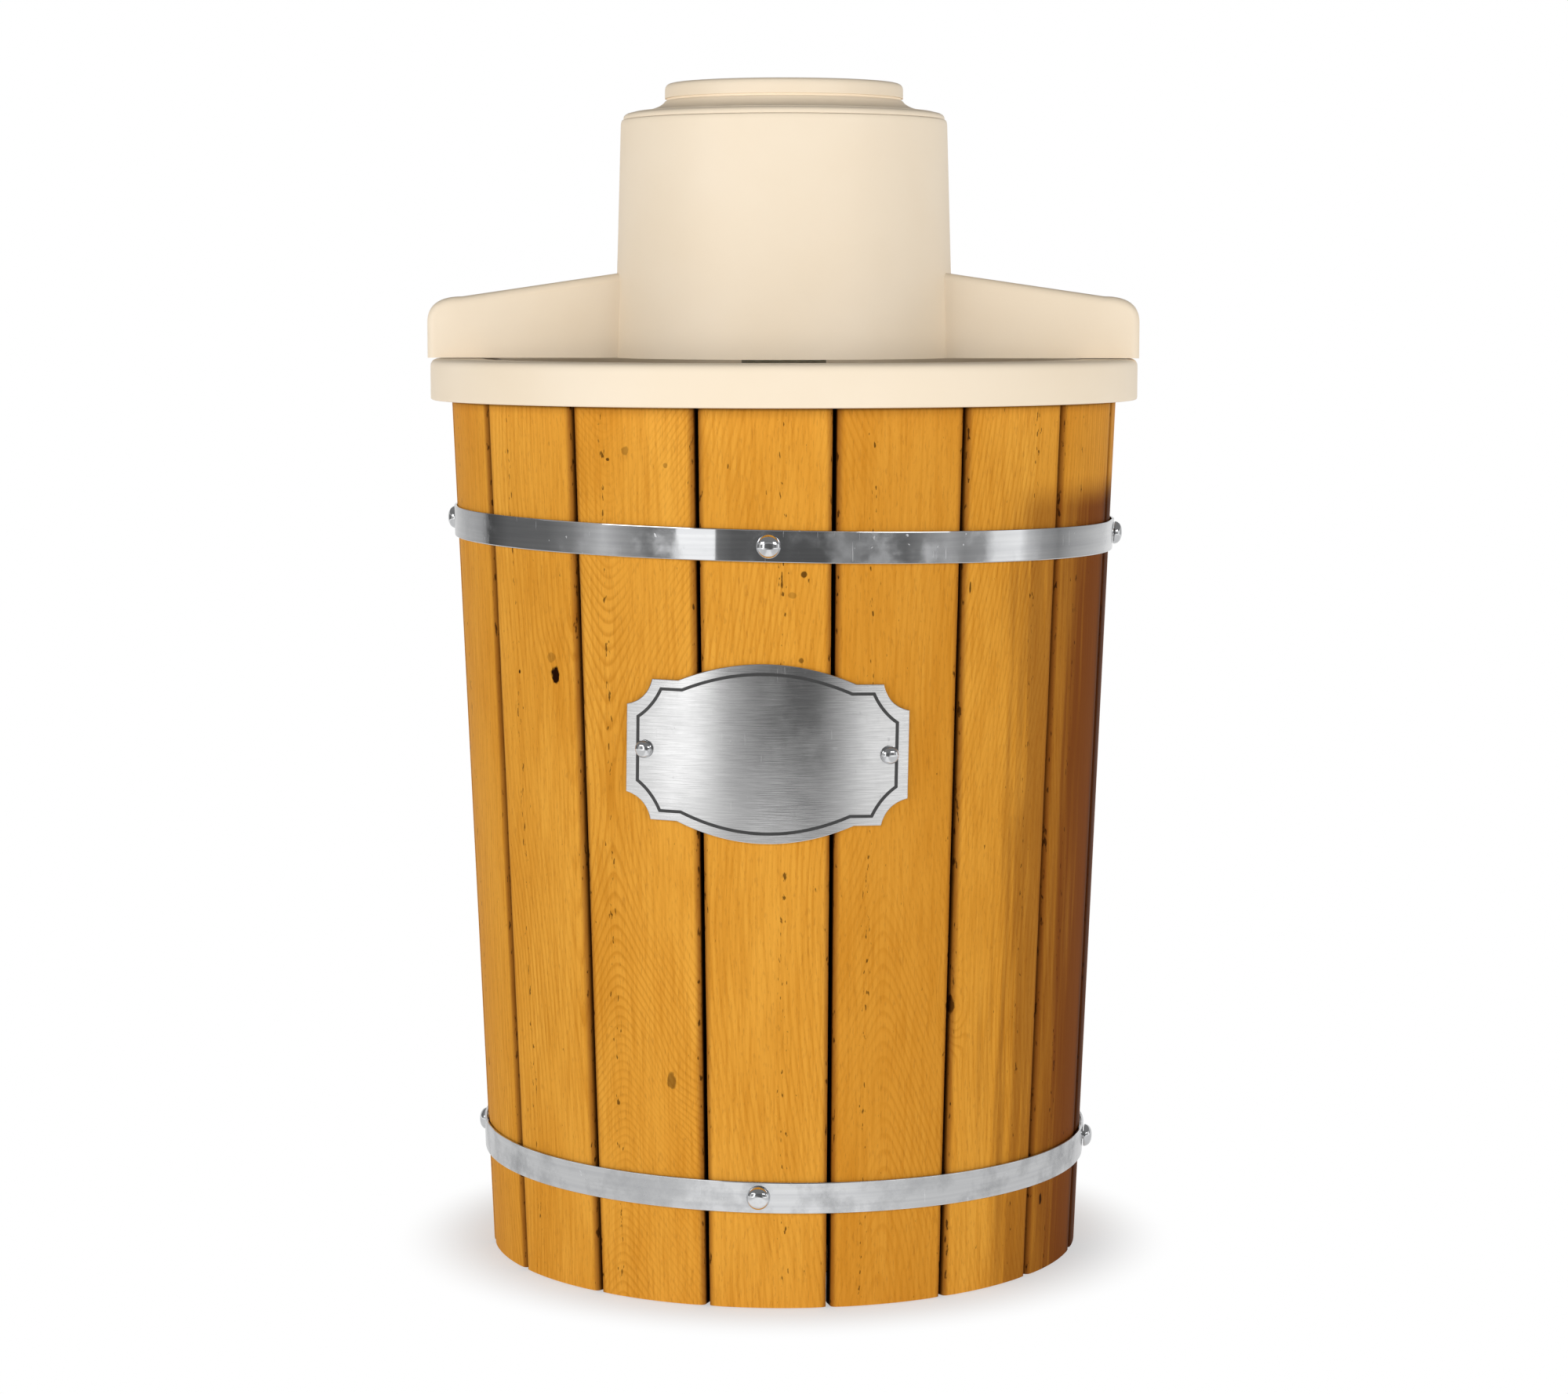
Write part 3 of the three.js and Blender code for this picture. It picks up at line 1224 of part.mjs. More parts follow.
bossAngles().forEach((angle, i) => {
  const mesh = add(head, `base_screw_${i + 1}`, screw(SCREW_LENGTH), zinc);
  const low = plateLow - GAP - SCREW_HEAD_HEIGHT;
  mesh.position.set(BOSS_CIRCLE * Math.cos(angle), BOSS_CIRCLE * Math.sin(angle), low);
});
[-1, 1].forEach((side, i) => {
  const length = MOTOR_FLANGE + GAP + MOTOR_PLATE_THICKNESS;
  const mesh = add(head, `motor_screw_${i + 1}`, screw(length), zinc);
  mesh.rotation.x = Math.PI;
  mesh.position.set(0, side * MOTOR_SCREW_CIRCLE, motorLow + MOTOR_FLANGE + GAP + SCREW_HEAD_HEIGHT);
});
const gland = add(head, "cable_gland", cableGland(), black);
gland.rotation.x = -Math.PI / 2;
gland.position.set(0, headRadius(plateHigh + GLAND_HEIGHT) + GAP, plateHigh + GLAND_HEIGHT);

export default freezer;
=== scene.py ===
import math

import bmesh
import bpy
import numpy as np
from bpy.props import FloatProperty, FloatVectorProperty, IntProperty, PointerProperty
from mathutils import Matrix, Vector
from mathutils.geometry import delaunay_2d_cdt


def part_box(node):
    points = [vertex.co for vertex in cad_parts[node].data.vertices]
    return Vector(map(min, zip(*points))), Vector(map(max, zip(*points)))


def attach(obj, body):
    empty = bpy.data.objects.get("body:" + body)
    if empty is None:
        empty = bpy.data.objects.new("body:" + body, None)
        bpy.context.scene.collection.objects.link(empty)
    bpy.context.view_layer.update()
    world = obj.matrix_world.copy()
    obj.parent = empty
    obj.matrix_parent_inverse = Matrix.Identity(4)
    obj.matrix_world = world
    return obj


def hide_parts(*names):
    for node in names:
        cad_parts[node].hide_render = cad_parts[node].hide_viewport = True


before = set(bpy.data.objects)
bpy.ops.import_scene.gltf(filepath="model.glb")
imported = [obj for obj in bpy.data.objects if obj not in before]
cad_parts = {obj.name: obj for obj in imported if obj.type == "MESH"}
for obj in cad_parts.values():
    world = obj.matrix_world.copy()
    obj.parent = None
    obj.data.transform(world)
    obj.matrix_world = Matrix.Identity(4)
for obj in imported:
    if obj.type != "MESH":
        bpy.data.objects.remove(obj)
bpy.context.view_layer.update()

bl_info = {
    "name": "Electric bucket freezer for ice cream",
    "version": (1, 0, 0),
    "blender": (4, 5, 0),
    "location": "View3D > Sidebar > Freezer",
    "description": "Dresses the packed bucket freezer with finished pieces and real materials",
    "category": "Object",
}

# Lengths here are millimetres, and one function turns them to metres when a mesh is made.
MM = 0.001

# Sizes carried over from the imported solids
STAVES = 16
STAVE_THICKNESS = 10.0
STAVE_TOP = 331.0
# The groove that holds the bottom board: its lower edge, its upper edge and its depth
CROZE = (12.0, 21.6, 3.5)
BASE_RADIUS = 111.0
FLARE = math.radians(2.34)
FRONT = math.radians(-90)
# Each hoop: its height, its tilt and its turn
UPPER_HOOP = (271.5, math.radians(1.2), math.radians(0.6))
LOWER_HOOP = (40.6, math.radians(0.6), math.radians(-1.5))
HOOP_WIDTH = 11.3
HOOP_THICKNESS = 0.9
HOOP_STANDOFF = 0.6
# Clearance between two pieces that meet
FIT = 0.3
# Domed rivets: radius and height of the head; radius and length of the shank
HOOP_RIVET = (4.2, 3.1)
LABEL_RIVET = (3.2, 2.5)
RIVET_SHANK = (1.5, 7)
LABEL_HEIGHT = 199.0
LABEL_TURN = math.radians(-1.1)
LABEL_THICKNESS = 0.8
LABEL_RIVET_REACH = 42.3
RIM_TOP = 334.0
RIM_BOTTOM = 318.9
RIM_RADIUS = 132.0
RIM_WALL = 2.7
LINER_WALL = 2.2
LINER_GAP = 1.2
LINER_FLOOR = 23.8
# Half the width and half the length of the slots for the head's tabs
SLOT_HALF = (1.5, 7.4)
DRAIN_HEIGHT = 236.0
DRAIN_BORE = 7.1
HEAD_BOTTOM = 334.3
HEAD_TOP = 422.0
HEAD_BASE_RADIUS = 63.3
HEAD_TOP_RADIUS = 60.7
HEAD_WALL = 2.5
ARM_ROOT_HEIGHT = 30.9
ARM_END_HEIGHT = 22.7
ARM_ROOT_HALF = 17.0
ARM_END_HALF = 20.0
ARM_CORNER_LENGTH = 13.0
ARM_CORNER_DROP = 9.6
ARM_ROUNDING = 3.0
# How far below its foot the head is drawn, before it is cut off level
FOOT_ALLOWANCE = 6
# The tubes that the base plate's screws go into: distance from the axis, bore, radius, bottom, top
SCREW_BOSS = (56.2, 1.8, 4.2, 339.3, 350.8)
CAN_RADIUS = 80.0
CAN_FLOOR = 29.8
CAN_TOP = 315.8
COLLAR_TOP = 324.0
CLAW_TOP = 330.6
CLAW_OUTER = 16.0
CLAW_INNER = 10.0
GLAND_HEIGHT = 371.0
GLAND_BORE = 4.6

# Sizes of the stage, in millimetres but for the lamps, which are in metres
FLOOR_TOP = -0.4
CARD_RADIUS = 900.0
CARD_SEAM = 100.0
CARD_TOP = 420.0
LAMP_SIZE = 1.3
LAMP_PLACE = (1.6, -1.65, 0.6)
LAMP_AIM = (0, 0, 0.2)
WHITE = (1, 1, 1, 1)

# A quarter of the plate's outline and of its border line
PLATE = {
    "wide": 49.4, "notch": 40.4, "low": 15.6, "shoulder": 24.9, "crown": 31.0, "rise": 6.7, "bite": 0.18,
}
BORDER = {
    "wide": 45.3, "notch": 37.1, "low": 11.3, "shoulder": 21.5, "crown": 29.6, "rise": 6.5, "bite": 0.36,
}

# The grain's arches rise and fall once in this run, and its rings stand this far apart
ARCH_RUN = 500.0
RING_GAP = 2.3

# Marks in the wood: stave counted from the front one, across and up, half width and half height,
# darkness from 0 to 1, and how far the rings swerve round the mark
KNOTS = (
    (-2, 12.0, 223.3, 2.3, 3.3, 1.0, 4.0),
    (-2, 10.0, 229.9, 2.2, 1.8, 0.3, 0.0),
    (-2, -8.4, 223.2, 0.7, 0.8, 0.9, 0.0),
    (0, 13.3, 261.6, 1.1, 1.3, 0.8, 0.0),
    (0, 12.4, 231.7, 1.1, 1.2, 0.6, 0.0),
    (0, 9.2, 254.3, 1.5, 1.0, 0.3, 0.0),
    (-1, -2.2, 303.8, 1.5, 1.6, 0.4, 6.0),
    (-1, -9.2, 300.6, 0.7, 0.5, 0.8, 0.0),
    (-1, 13.2, 298.9, 0.9, 0.9, 0.4, 0.0),
    (-1, 10.4, 81.0, 1.8, 3.4, 0.55, 4.0),
    (2, -21.9, 106.9, 1.4, 3.2, 0.8, 14.0),
    (1, 22.0, 106.9, 1.2, 2.4, 0.7, 8.0),
    (2, -20.1, 255.5, 0.5, 2.2, 0.8, 0.0),
    (-2, -20.7, 29.5, 0.8, 1.4, 0.9, 0.0),
    (-3, 20.6, 36.3, 0.8, 1.8, 0.9, 0.0),
    (3, -14.3, 27.1, 1.0, 2.4, 0.9, 0.0),
    (6, 3.0, 142.0, 1.8, 2.4, 0.8, 5.0),
    (-5, -6.0, 196.0, 1.6, 2.2, 0.7, 5.0),
    (8, 9.0, 88.0, 1.5, 2.1, 0.7, 4.0),
)

# How the grain runs in the staves that face the camera: how far the middle of its arches lies off
# the stave's own middle, how steeply the arches stand, where they turn over, and how much darker
# the stave took its varnish
FIGURES = {
    -3: (30.0, 10.0, 0.4, 0.1),
    -2: (-26.0, 12.0, 1.0, 0.0),
    -1: (4.0, 62.0, -0.75, 0.0),
    0: (34.0, 16.0, -0.4, 0.05),
    1: (-2.0, 34.0, -1.2, 0.36),
    2: (26.0, 26.0, 0.3, 0.1),
    3: (-30.0, 9.0, 0.9, 0.1),
}

# Levels of the cards that gloss sees, by turn in degrees from the front towards the right
HIGH_CARDS = (
    (-180, 0.85), (-126, 0.55), (-115, 0.42), (-114.6, 0.08), (-110, 0.1), (-100, 0.17), (-80, 0.19),
    (-69, 0.3), (-63, 0.5), (-57, 0.72), (-51, 0.5), (-45, 0.34), (-40, 0.24), (-31.6, 0.36), (-31.2, 1.4),
    (-18.8, 1.4), (-18.4, 0.24), (-13, 0.15), (3, 0.12), (16, 0.13), (24, 0.26), (42, 0.18), (50, 0.34),
    (57, 0.52), (63, 0.36), (71, 0.45), (74, 1.1), (86, 1.25), (90, 0.75), (97, 0.46), (106, 0.32),
    (115, 0.5), (130, 0.65), (150, 0.85), (180, 0.85),
)
LOW_CARDS = (
    (-180, 0.9), (-60, 0.9), (-42, 1.15), (-34, 1.6), (-26, 1.4), (-15, 0.55), (-4, 0.24), (6, 0.1),
    (14, 0.12), (21, 0.45), (30, 1.05), (45, 1.25), (70, 0.9), (180, 0.9),
)


def linear(code):
    """An sRGB hex colour as linear red, green and blue."""
    parts = [int(code[i:i + 2], 16) / 255 for i in (1, 3, 5)]
    return tuple(c / 12.92 if c <= 0.04045 else ((c + 0.055) / 1.055) ** 2.4 for c in parts)


def node(tree, kind, inputs=(), **settings):
    """Adds a node, sets its settings, and fills or links its inputs, in order or by name or place.

    A node that is given as an input is linked by its first output.
    """
    made = tree.nodes.new(kind)
    for name, value in settings.items():
        setattr(made, name, value)
    for socket, value in inputs.items() if isinstance(inputs, dict) else enumerate(inputs):
        if isinstance(value, bpy.types.Node):
            value = value.outputs[0]
        if isinstance(value, bpy.types.NodeSocket):
            tree.links.new(value, made.inputs[socket])
        else:
            made.inputs[socket].default_value = value
    return made


# Making meshes


def lay_mesh(name, points, faces, crease=35):
    """A new object from points in millimetres, shaded smooth up to the crease angle."""
    mesh = bpy.data.meshes.new(name)
    mesh.from_pydata([tuple(c * MM for c in p) for p in points], [], faces)
    mesh.update()
    obj = bpy.data.objects.new(name, mesh)
    bpy.context.scene.collection.objects.link(obj)
    work = bmesh.new()
    work.from_mesh(mesh)
    bmesh.ops.remove_doubles(work, verts=work.verts, dist=0.001 * MM)
    bmesh.ops.recalc_face_normals(work, faces=work.faces)
    work.to_mesh(mesh)
    work.free()
    shade(obj, crease)
    return obj


def shade(obj, crease):
    """Smooth shading that breaks where two faces meet at more than the crease angle, in degrees."""
    obj.data.shade_smooth()
    obj.data.set_sharp_from_angle(angle=math.radians(crease))


def keep(mesh, name, kind, values):
    """Stores one value for each point of a mesh."""
    made = mesh.attributes.new(name, kind, "POINT")
    field = "vector" if kind == "FLOAT_VECTOR" else "value"
    made.data.foreach_set(field, np.asarray(values, np.float32).ravel())


def rounded(corners, steps=5):
    """Points of an outline whose (x, y, radius) corners are drawn round, within half of each side."""
    points = []
    count = len(corners)
    for i, (x, y, radius) in enumerate(corners):
        here = Vector((x, y))
        before = Vector(corners[i - 1][:2]) - here
        after = Vector(corners[(i + 1) % count][:2]) - here
        if radius <= 0 or before.length < 1e-6 or after.length < 1e-6:
            points.append((x, y))
            continue
        half = before.angle(after) / 2
        reach = min(radius / max(math.tan(half), 0.05), 0.48 * before.length, 0.48 * after.length)
        first = here + before.normalized() * reach
        last = here + after.normalized() * reach
        points += curve_points(first, here, last, steps)
    return points


def curve_points(first, pull, last, steps):
    """Points from first to last on a curve drawn towards pull, both ends among them."""
    shares = [i / steps for i in range(steps + 1)]
    first, pull, last = Vector(first), Vector(pull), Vector(last)
    return [tuple((1 - t) ** 2 * first + 2 * t * (1 - t) * pull + t * t * last) for t in shares]


def shifted(points, inset):
    """An outline drawn in by an inset, corner by corner."""
    count = len(points)
    moved = []
    for i, p in enumerate(points):
        p = Vector(p)
        before = (p - Vector(points[i - 1])).normalized()
        after = (Vector(points[(i + 1) % count]) - p).normalized()
        normal = Vector((-before.y, before.x)) + Vector((-after.y, after.x))
        normal.normalize()
        share = max(normal.dot(Vector((-after.y, after.x))), 0.5)
        moved.append(tuple(p + normal * inset / share))
    return moved


def bands(rings, joined=False):
    """Faces between rings of point numbers. Joined rings go on from the last to the first."""
    faces = []
    for low, high in zip(rings, rings[1:] + rings[:1] if joined else rings[1:]):
        for i in range(len(low)):
            j = (i + 1) % len(low)
            face = tuple(dict.fromkeys((low[i], low[j], high[j], high[i])))
            if len(face) > 2:
                faces.append(face)
    return faces


def loft(name, rings, ends="open", crease=35):
    """A piece from rings of points, all of one count, whose two ends are open, capped or joined."""
    count = len(rings[0])
    points = [p for ring in rings for p in ring]
    numbers = [tuple(range(start, start + count)) for start in range(0, len(points), count)]
    faces = bands(numbers, ends == "joined")
    if ends == "capped":
        faces += [numbers[0][::-1], numbers[-1]]
    return lay_mesh(name, points, faces, crease)


def lathe(name, outline, facets=160, place=None, crease=35):
    """Turns a closed outline of (radius, height) points about the Z axis, then places it."""
    points, rings = [], []
    turns = [2 * math.pi * j / facets for j in range(facets)]
    for radius, height in outline:
        start = len(points)
        if radius < 1e-6:
            rings.append([start] * facets)
            points.append((0, 0, height))
        else:
            rings.append(range(start, start + facets))
            points += [(radius * math.cos(turn), radius * math.sin(turn), height) for turn in turns]
    if place:
        points = [place @ Vector(p) for p in points]
    return lay_mesh(name, points, bands(rings, joined=True), crease)


def rod(name, radius, low, high, place):
    """A plain round rod along its own Z axis, to cut with."""
    return lathe(name, [(0, low), (radius, low), (radius, high), (0, high)], 48, place)


def block(name, x, y, z):
    """A plain block between two limits along each axis, to cut with."""
    points = [(a, b, c) for a in x for b in y for c in z]
    faces = [(0, 1, 3, 2), (4, 6, 7, 5), (0, 4, 5, 1), (2, 3, 7, 6), (0, 2, 6, 4), (1, 5, 7, 3)]
    return lay_mesh(name, points, faces)


def bake(obj):
    """Applies what modifiers a piece has and keeps the result as its plain mesh."""
    graph = bpy.context.evaluated_depsgraph_get()
    graph.update()
    mesh = bpy.data.meshes.new_from_object(obj.evaluated_get(graph), depsgraph=graph)
    obj.modifiers.clear()
    old = obj.data
    obj.data = mesh
    bpy.data.meshes.remove(old)


def carve(piece, tool, operation="DIFFERENCE", crease=35):
    """Cuts a tool from a piece, or joins it on, and removes the tool."""
    step = piece.modifiers.new("carve", "BOOLEAN")
    step.operation = operation
    step.solver = "EXACT"
    step.object = tool
    bake(piece)
    bpy.data.objects.remove(tool)
    shade(piece, crease)


def new_tree(name, wanted, result):
    """A geometry tree with its named inputs, the identifier of each, and the node that gives them."""
    tree = bpy.data.node_groups.new(name, "GeometryNodeTree")
    inputs = {}
    for label, kind in wanted.items():
        made = tree.interface.new_socket(name=label, in_out="INPUT", socket_type=f"NodeSocket{kind}")
        inputs[label] = made.identifier
    tree.interface.new_socket(name=result, in_out="OUTPUT", socket_type="NodeSocketGeometry")
    return tree, inputs, node(tree, "NodeGroupInput").outputs


def run_tree(piece, tree, inputs, values):
    """Runs a geometry tree on a piece, with its inputs set by name, and keeps the result."""
    step = piece.modifiers.new(tree.name, "NODES")
    step.node_group = tree
    for name, value in values.items():
        step[inputs[name]] = value
    bake(piece)


def stand_for(piece, body, slot, finish, *nodes, slack=1.2):
    """Gives a piece its body and finish, and hides the CAD nodes that it stands for.

    It raises an error where the piece's box is further off theirs than the slack, in millimetres.
    """
    piece.data.materials.clear()
    piece.data.materials.append(finish)
    own = np.array([v.co for v in piece.data.vertices])
    boxes = [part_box(n) for n in nodes]
    low = np.min([b[0] for b in boxes], axis=0)
    high = np.max([b[1] for b in boxes], axis=0)
    off = max(np.abs(own.min(0) - low).max(), np.abs(own.max(0) - high).max()) / MM
    if off > slack:
        raise RuntimeError(f"{piece.name} is {off:.2f} mm off the solids that it stands for")
    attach(piece, body)
    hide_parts(*nodes)


# The bucket's cone and the head's drum


def wall_radius(height):
    """The bucket's outer radius at a height."""
    return BASE_RADIUS + height * math.tan(FLARE)


def wall_place(angle, height, standoff):
    """A place on the outer wall, with its own Z axis straight out of the wall."""
    out = Vector((math.cos(angle), math.sin(angle), 0))
    normal = out * math.cos(FLARE) - Vector((0, 0, math.sin(FLARE)))
    along = Vector((-math.sin(angle), math.cos(angle), 0))
    place = Matrix((along, normal.cross(along), normal)).transposed().to_4x4()
    place.translation = out * (wall_radius(height) + standoff) + Vector((0, 0, height))
    return place


def hoop_frame(height, tilt, turn):
    """A hoop's own frame, tilted about Y and turned about its axis."""
    up = Matrix.Translation((0, 0, height))
    return up @ Matrix.Rotation(tilt, 4, "Y") @ Matrix.Rotation(turn, 4, "Z") @ up.inverted()


def drain_place():
    """The drain's place on the wall, at the back."""
    return wall_place(-FRONT, DRAIN_HEIGHT, 0)


def cut_drain(piece, reach, crease=35):
    """Cuts the drain's hole through a piece, as far as the reach on both sides of the outer wall."""
    carve(piece, rod("drain_hole", DRAIN_BORE, -reach, reach, drain_place()), crease=crease)


def head_radius(height):
    """The head's outer radius at a height: it narrows a little towards its top."""
    drop = (HEAD_BASE_RADIUS - HEAD_TOP_RADIUS) * (height - HEAD_BOTTOM) / (HEAD_TOP - HEAD_BOTTOM)
    return HEAD_BASE_RADIUS - drop


def gland_place(out):
    """The cable gland's place at the back of the head, with its own Z axis straight out."""
    return Matrix.Translation((0, out, GLAND_HEIGHT)) @ Matrix.Rotation(-math.pi / 2, 4, "X")


# Finishes


def finish_of(name, **shader):
    """A new material with its shader's plain values set, ready for its pattern."""
    made = bpy.data.materials.new(name)
    made.use_nodes = True
    tree = made.node_tree
    surface = tree.nodes["Principled BSDF"]
    for socket, value in shader.items():
        surface.inputs[socket.replace("_", " ").title().replace("Ior", "IOR")].default_value = value
    return made, tree, surface


def drawn_noise(tree, place, stretch, detail):
    """Noise drawn out along the axes. Its grains are one over the stretch, in metres, along each."""
    drawn = node(tree, "ShaderNodeVectorMath", (place, stretch), operation="MULTIPLY")
    return node(tree, "ShaderNodeTexNoise", {"Vector": drawn, "Scale": 1.0, "Detail": detail})


def layered(tree, ground, *layers):
    """Lays colours over a ground, one on another, each by its own share."""
    colour = (*ground, 1)
    for share, layer in layers:
        mixed = node(tree, "ShaderNodeMix", {0: share, 6: colour, 7: (*layer, 1)}, data_type="RGBA")
        colour = mixed.outputs[2]
    return colour


def dress(tree, surface, colour, height, strength, depth):
    """Gives a surface its colour, and a relief of a strength and a depth in millimetres."""
    bump = node(tree, "ShaderNodeBump", {"Strength": strength, "Distance": depth * MM, "Height": height})
    tree.links.new(colour, surface.inputs["Base Color"])
    tree.links.new(bump.outputs[0], surface.inputs["Normal"])


def ring_figure(tree, plank, own, swerve):
    """Thin lines of late wood, straight or in arches, as each stave's own figure says."""
    figure = node(tree, "ShaderNodeAttribute", attribute_name="figure").outputs["Vector"]
    lean, steep, turned = node(tree, "ShaderNodeSeparateXYZ", (figure,)).outputs
    across, _, up = node(tree, "ShaderNodeSeparateXYZ", (plank,)).outputs
    # The arches rise and fall once in a stave and a half, and all lines wander a few millimetres
    rate = 2 * math.pi / (ARCH_RUN * MM)
    phase = node(tree, "ShaderNodeMath", (up, rate, turned), operation="MULTIPLY_ADD")
    wave = node(tree, "ShaderNodeMath", (phase,), operation="SINE")
    drift = drawn_noise(tree, own, (16.0, 16.0, 8.0), 1.0)
    off = node(tree, "ShaderNodeMath", (drift, 0.012, lean), operation="MULTIPLY_ADD")
    side = node(tree, "ShaderNodeMath", (across, off), operation="ADD")
    # Their tips are rounded over 4 mm
    spot = node(tree, "ShaderNodeCombineXYZ", (side, 0.004))
    reach = node(tree, "ShaderNodeVectorMath", (spot,), operation="LENGTH").outputs["Value"]
    reach = node(tree, "ShaderNodeMath", (wave, steep, reach), operation="MULTIPLY_ADD")
    reach = node(tree, "ShaderNodeMath", (reach, swerve), operation="ADD")
    fuzz = drawn_noise(tree, own, (260.0, 260.0, 9.0), 2.0)
    reach = node(tree, "ShaderNodeMath", (fuzz, 0.0009, reach), operation="MULTIPLY_ADD")
    # Each ring darkens slowly towards a sharp outer edge
    cycle = node(tree, "ShaderNodeMath", (reach, 1 / (RING_GAP * MM)), operation="MULTIPLY")
    part = node(tree, "ShaderNodeMath", (cycle,), operation="FRACT")
    late = node(tree, "ShaderNodeMapRange", (part, 0.55, 0.93), interpolation_type="SMOOTHSTEP")
    early = node(tree, "ShaderNodeMapRange", (part, 0.0, 0.12, 0.8, 0.0))
    line = node(tree, "ShaderNodeMath", (late, early), operation="MAXIMUM")
    fade = drawn_noise(tree, own, (45.0, 45.0, 14.0), 1.0)
    shown = node(tree, "ShaderNodeMapRange", (fade, 0.35, 0.65, 0.15, 1.0))
    return node(tree, "ShaderNodeMath", (line, shown), operation="MULTIPLY")


def knot_marks(tree, own):
    """How dark the knots and specks are, and how far the rings swerve round them."""
    ragged = drawn_noise(tree, own, (420.0, 420.0, 300.0), 3.0)
    dark, swerve = 0.0, 0.0
    for stave, across, up, wide, high, depth, turn in KNOTS:
        middle = (stave + across * MM, 0.0, up * MM)
        sizes = (1 / (wide * MM), 0.0, 1 / (high * MM))
        off = node(tree, "ShaderNodeVectorMath", (own, middle), operation="SUBTRACT")
        sized = node(tree, "ShaderNodeVectorMath", (off, sizes), operation="MULTIPLY")
        reach = node(tree, "ShaderNodeVectorMath", (sized,), operation="LENGTH").outputs["Value"]
        # Noise tears the outline, which fades out over a third of the half sizes
        torn = node(tree, "ShaderNodeMath", (ragged, 1.4, reach), operation="MULTIPLY_ADD")
        given = (torn, 1.8, 1.45, 0.0, depth)
        mark = node(tree, "ShaderNodeMapRange", given, interpolation_type="SMOOTHSTEP")
        dark = node(tree, "ShaderNodeMath", (dark, mark), operation="MAXIMUM")
        if turn:
            # The rings swerve from seven times the half sizes inwards
            given = (reach, 7.0, 0.0, 0.0, turn * MM)
            bend = node(tree, "ShaderNodeMapRange", given, interpolation_type="SMOOTHSTEP")
            swerve = node(tree, "ShaderNodeMath", (swerve, bend), operation="ADD")
    return dark, swerve


def stain_and_shade_depth(tree, own):
    """How deep the stain and its painted shade are, by the turn from the front: strong on the right, faint on
    the left.
    """
    place = node(tree, "ShaderNodeTexCoord").outputs["Object"]
    right, back, up = node(tree, "ShaderNodeSeparateXYZ", (place,)).outputs
    front = node(tree, "ShaderNodeMath", (back, -1.0), operation="MULTIPLY")
    turn = node(tree, "ShaderNodeMath", (right, front), operation="ARCTAN2")
    streak = drawn_noise(tree, own, (260.0, 260.0, 7.0), 3.0)
    spread = node(tree, "ShaderNodeMath", (streak, 0.42, turn), operation="MULTIPLY_ADD")
    # The right flank darkens towards its edge: part stain in the wood, part painted shade
    # What each part goes by, between which two turns in degrees it changes, and how deep it is at each
    wanted = {
        "first": (spread, 53, 64, 0.0, 0.53, "SMOOTHSTEP"),
        "second": (spread, 66, 81, 0.0, 0.38, "SMOOTHSTEP"),
        "left": (spread, -45, -80, 0.0, 0.05, "LINEAR"),
        "ahead": (turn, 118, 84, 0.15, 1.0, "LINEAR"),
        "deepest": (turn, 74, 79, 0.0, 0.7, "SMOOTHSTEP"),
        "gone": (turn, 80, 90, 1.0, 0.0, "SMOOTHSTEP"),
    }
    parts = {}
    for name, (by, start, end, at_start, at_end, easing) in wanted.items():
        given = (by, math.radians(start), math.radians(end), at_start, at_end)
        parts[name] = node(tree, "ShaderNodeMapRange", given, interpolation_type=easing)
    # The stain and its painted shade stop a little above the upper hoop, and a painted shadow runs close
    # under the rim
    below = node(tree, "ShaderNodeMapRange", (up, 0.294, 0.28, 0.08), interpolation_type="SMOOTHSTEP")
    under = node(tree, "ShaderNodeMapRange", (up, 0.3174, 0.3189, 0.0, 0.75), interpolation_type="SMOOTHSTEP")
    brown = node(tree, "ShaderNodeMath", (parts["first"], parts["second"]), operation="ADD")
    brown = node(tree, "ShaderNodeMath", (brown, below), operation="MULTIPLY")
    brown = node(tree, "ShaderNodeMath", (brown, parts["ahead"]), operation="MULTIPLY")
    brown = node(tree, "ShaderNodeMath", (brown, parts["left"]), operation="MAXIMUM")
    # Near black beside the right edge, part stain and part painted shade
    black = node(tree, "ShaderNodeMath", (parts["deepest"], parts["gone"]), operation="MULTIPLY")
    black = node(tree, "ShaderNodeMath", (black, below), operation="MULTIPLY")
    # The painted shadow under the rim joins the black
    black = node(tree, "ShaderNodeMath", (black, under), operation="MAXIMUM")
    return brown, black


def seam_shade_and_chips(tree, plank, own):
    """Painted shade, brown on the rounded long edges and black deep in the seams, and small chips beside
    them.
    """
    edge = node(tree, "ShaderNodeAttribute", attribute_name="edge_share").outputs["Fac"]
    _, out, up = node(tree, "ShaderNodeSeparateXYZ", (plank,)).outputs
    face = node(tree, "ShaderNodeMath", (up, math.tan(FLARE)), operation="MULTIPLY")
    depth = node(tree, "ShaderNodeMath", (face, out), operation="SUBTRACT")
    # Painted black shade starts 2.6 mm below the face, and is full from 5.2 mm down
    deep = node(tree, "ShaderNodeMapRange", (depth, 0.0026, 0.0052), interpolation_type="SMOOTHSTEP")
    beside = node(tree, "ShaderNodeMapRange", (edge, 0.985, 0.999))
    black = node(tree, "ShaderNodeMath", (deep, beside), operation="MULTIPLY")
    # Painted brown shade on the rounded long edges
    brown = node(tree, "ShaderNodeMapRange", (edge, 0.88, 0.98, 0.0, 0.6), interpolation_type="SMOOTHSTEP")
    torn = drawn_noise(tree, own, (620.0, 620.0, 210.0), 3.0)
    near = node(tree, "ShaderNodeMapRange", (edge, 0.86, 0.97, 0.0, 0.2))
    likely = node(tree, "ShaderNodeMath", (torn, near), operation="ADD")
    chip = node(tree, "ShaderNodeMapRange", (likely, 0.8, 0.86, 0.0, 0.8))
    return brown, node(tree, "ShaderNodeMath", (black, chip), operation="MAXIMUM")


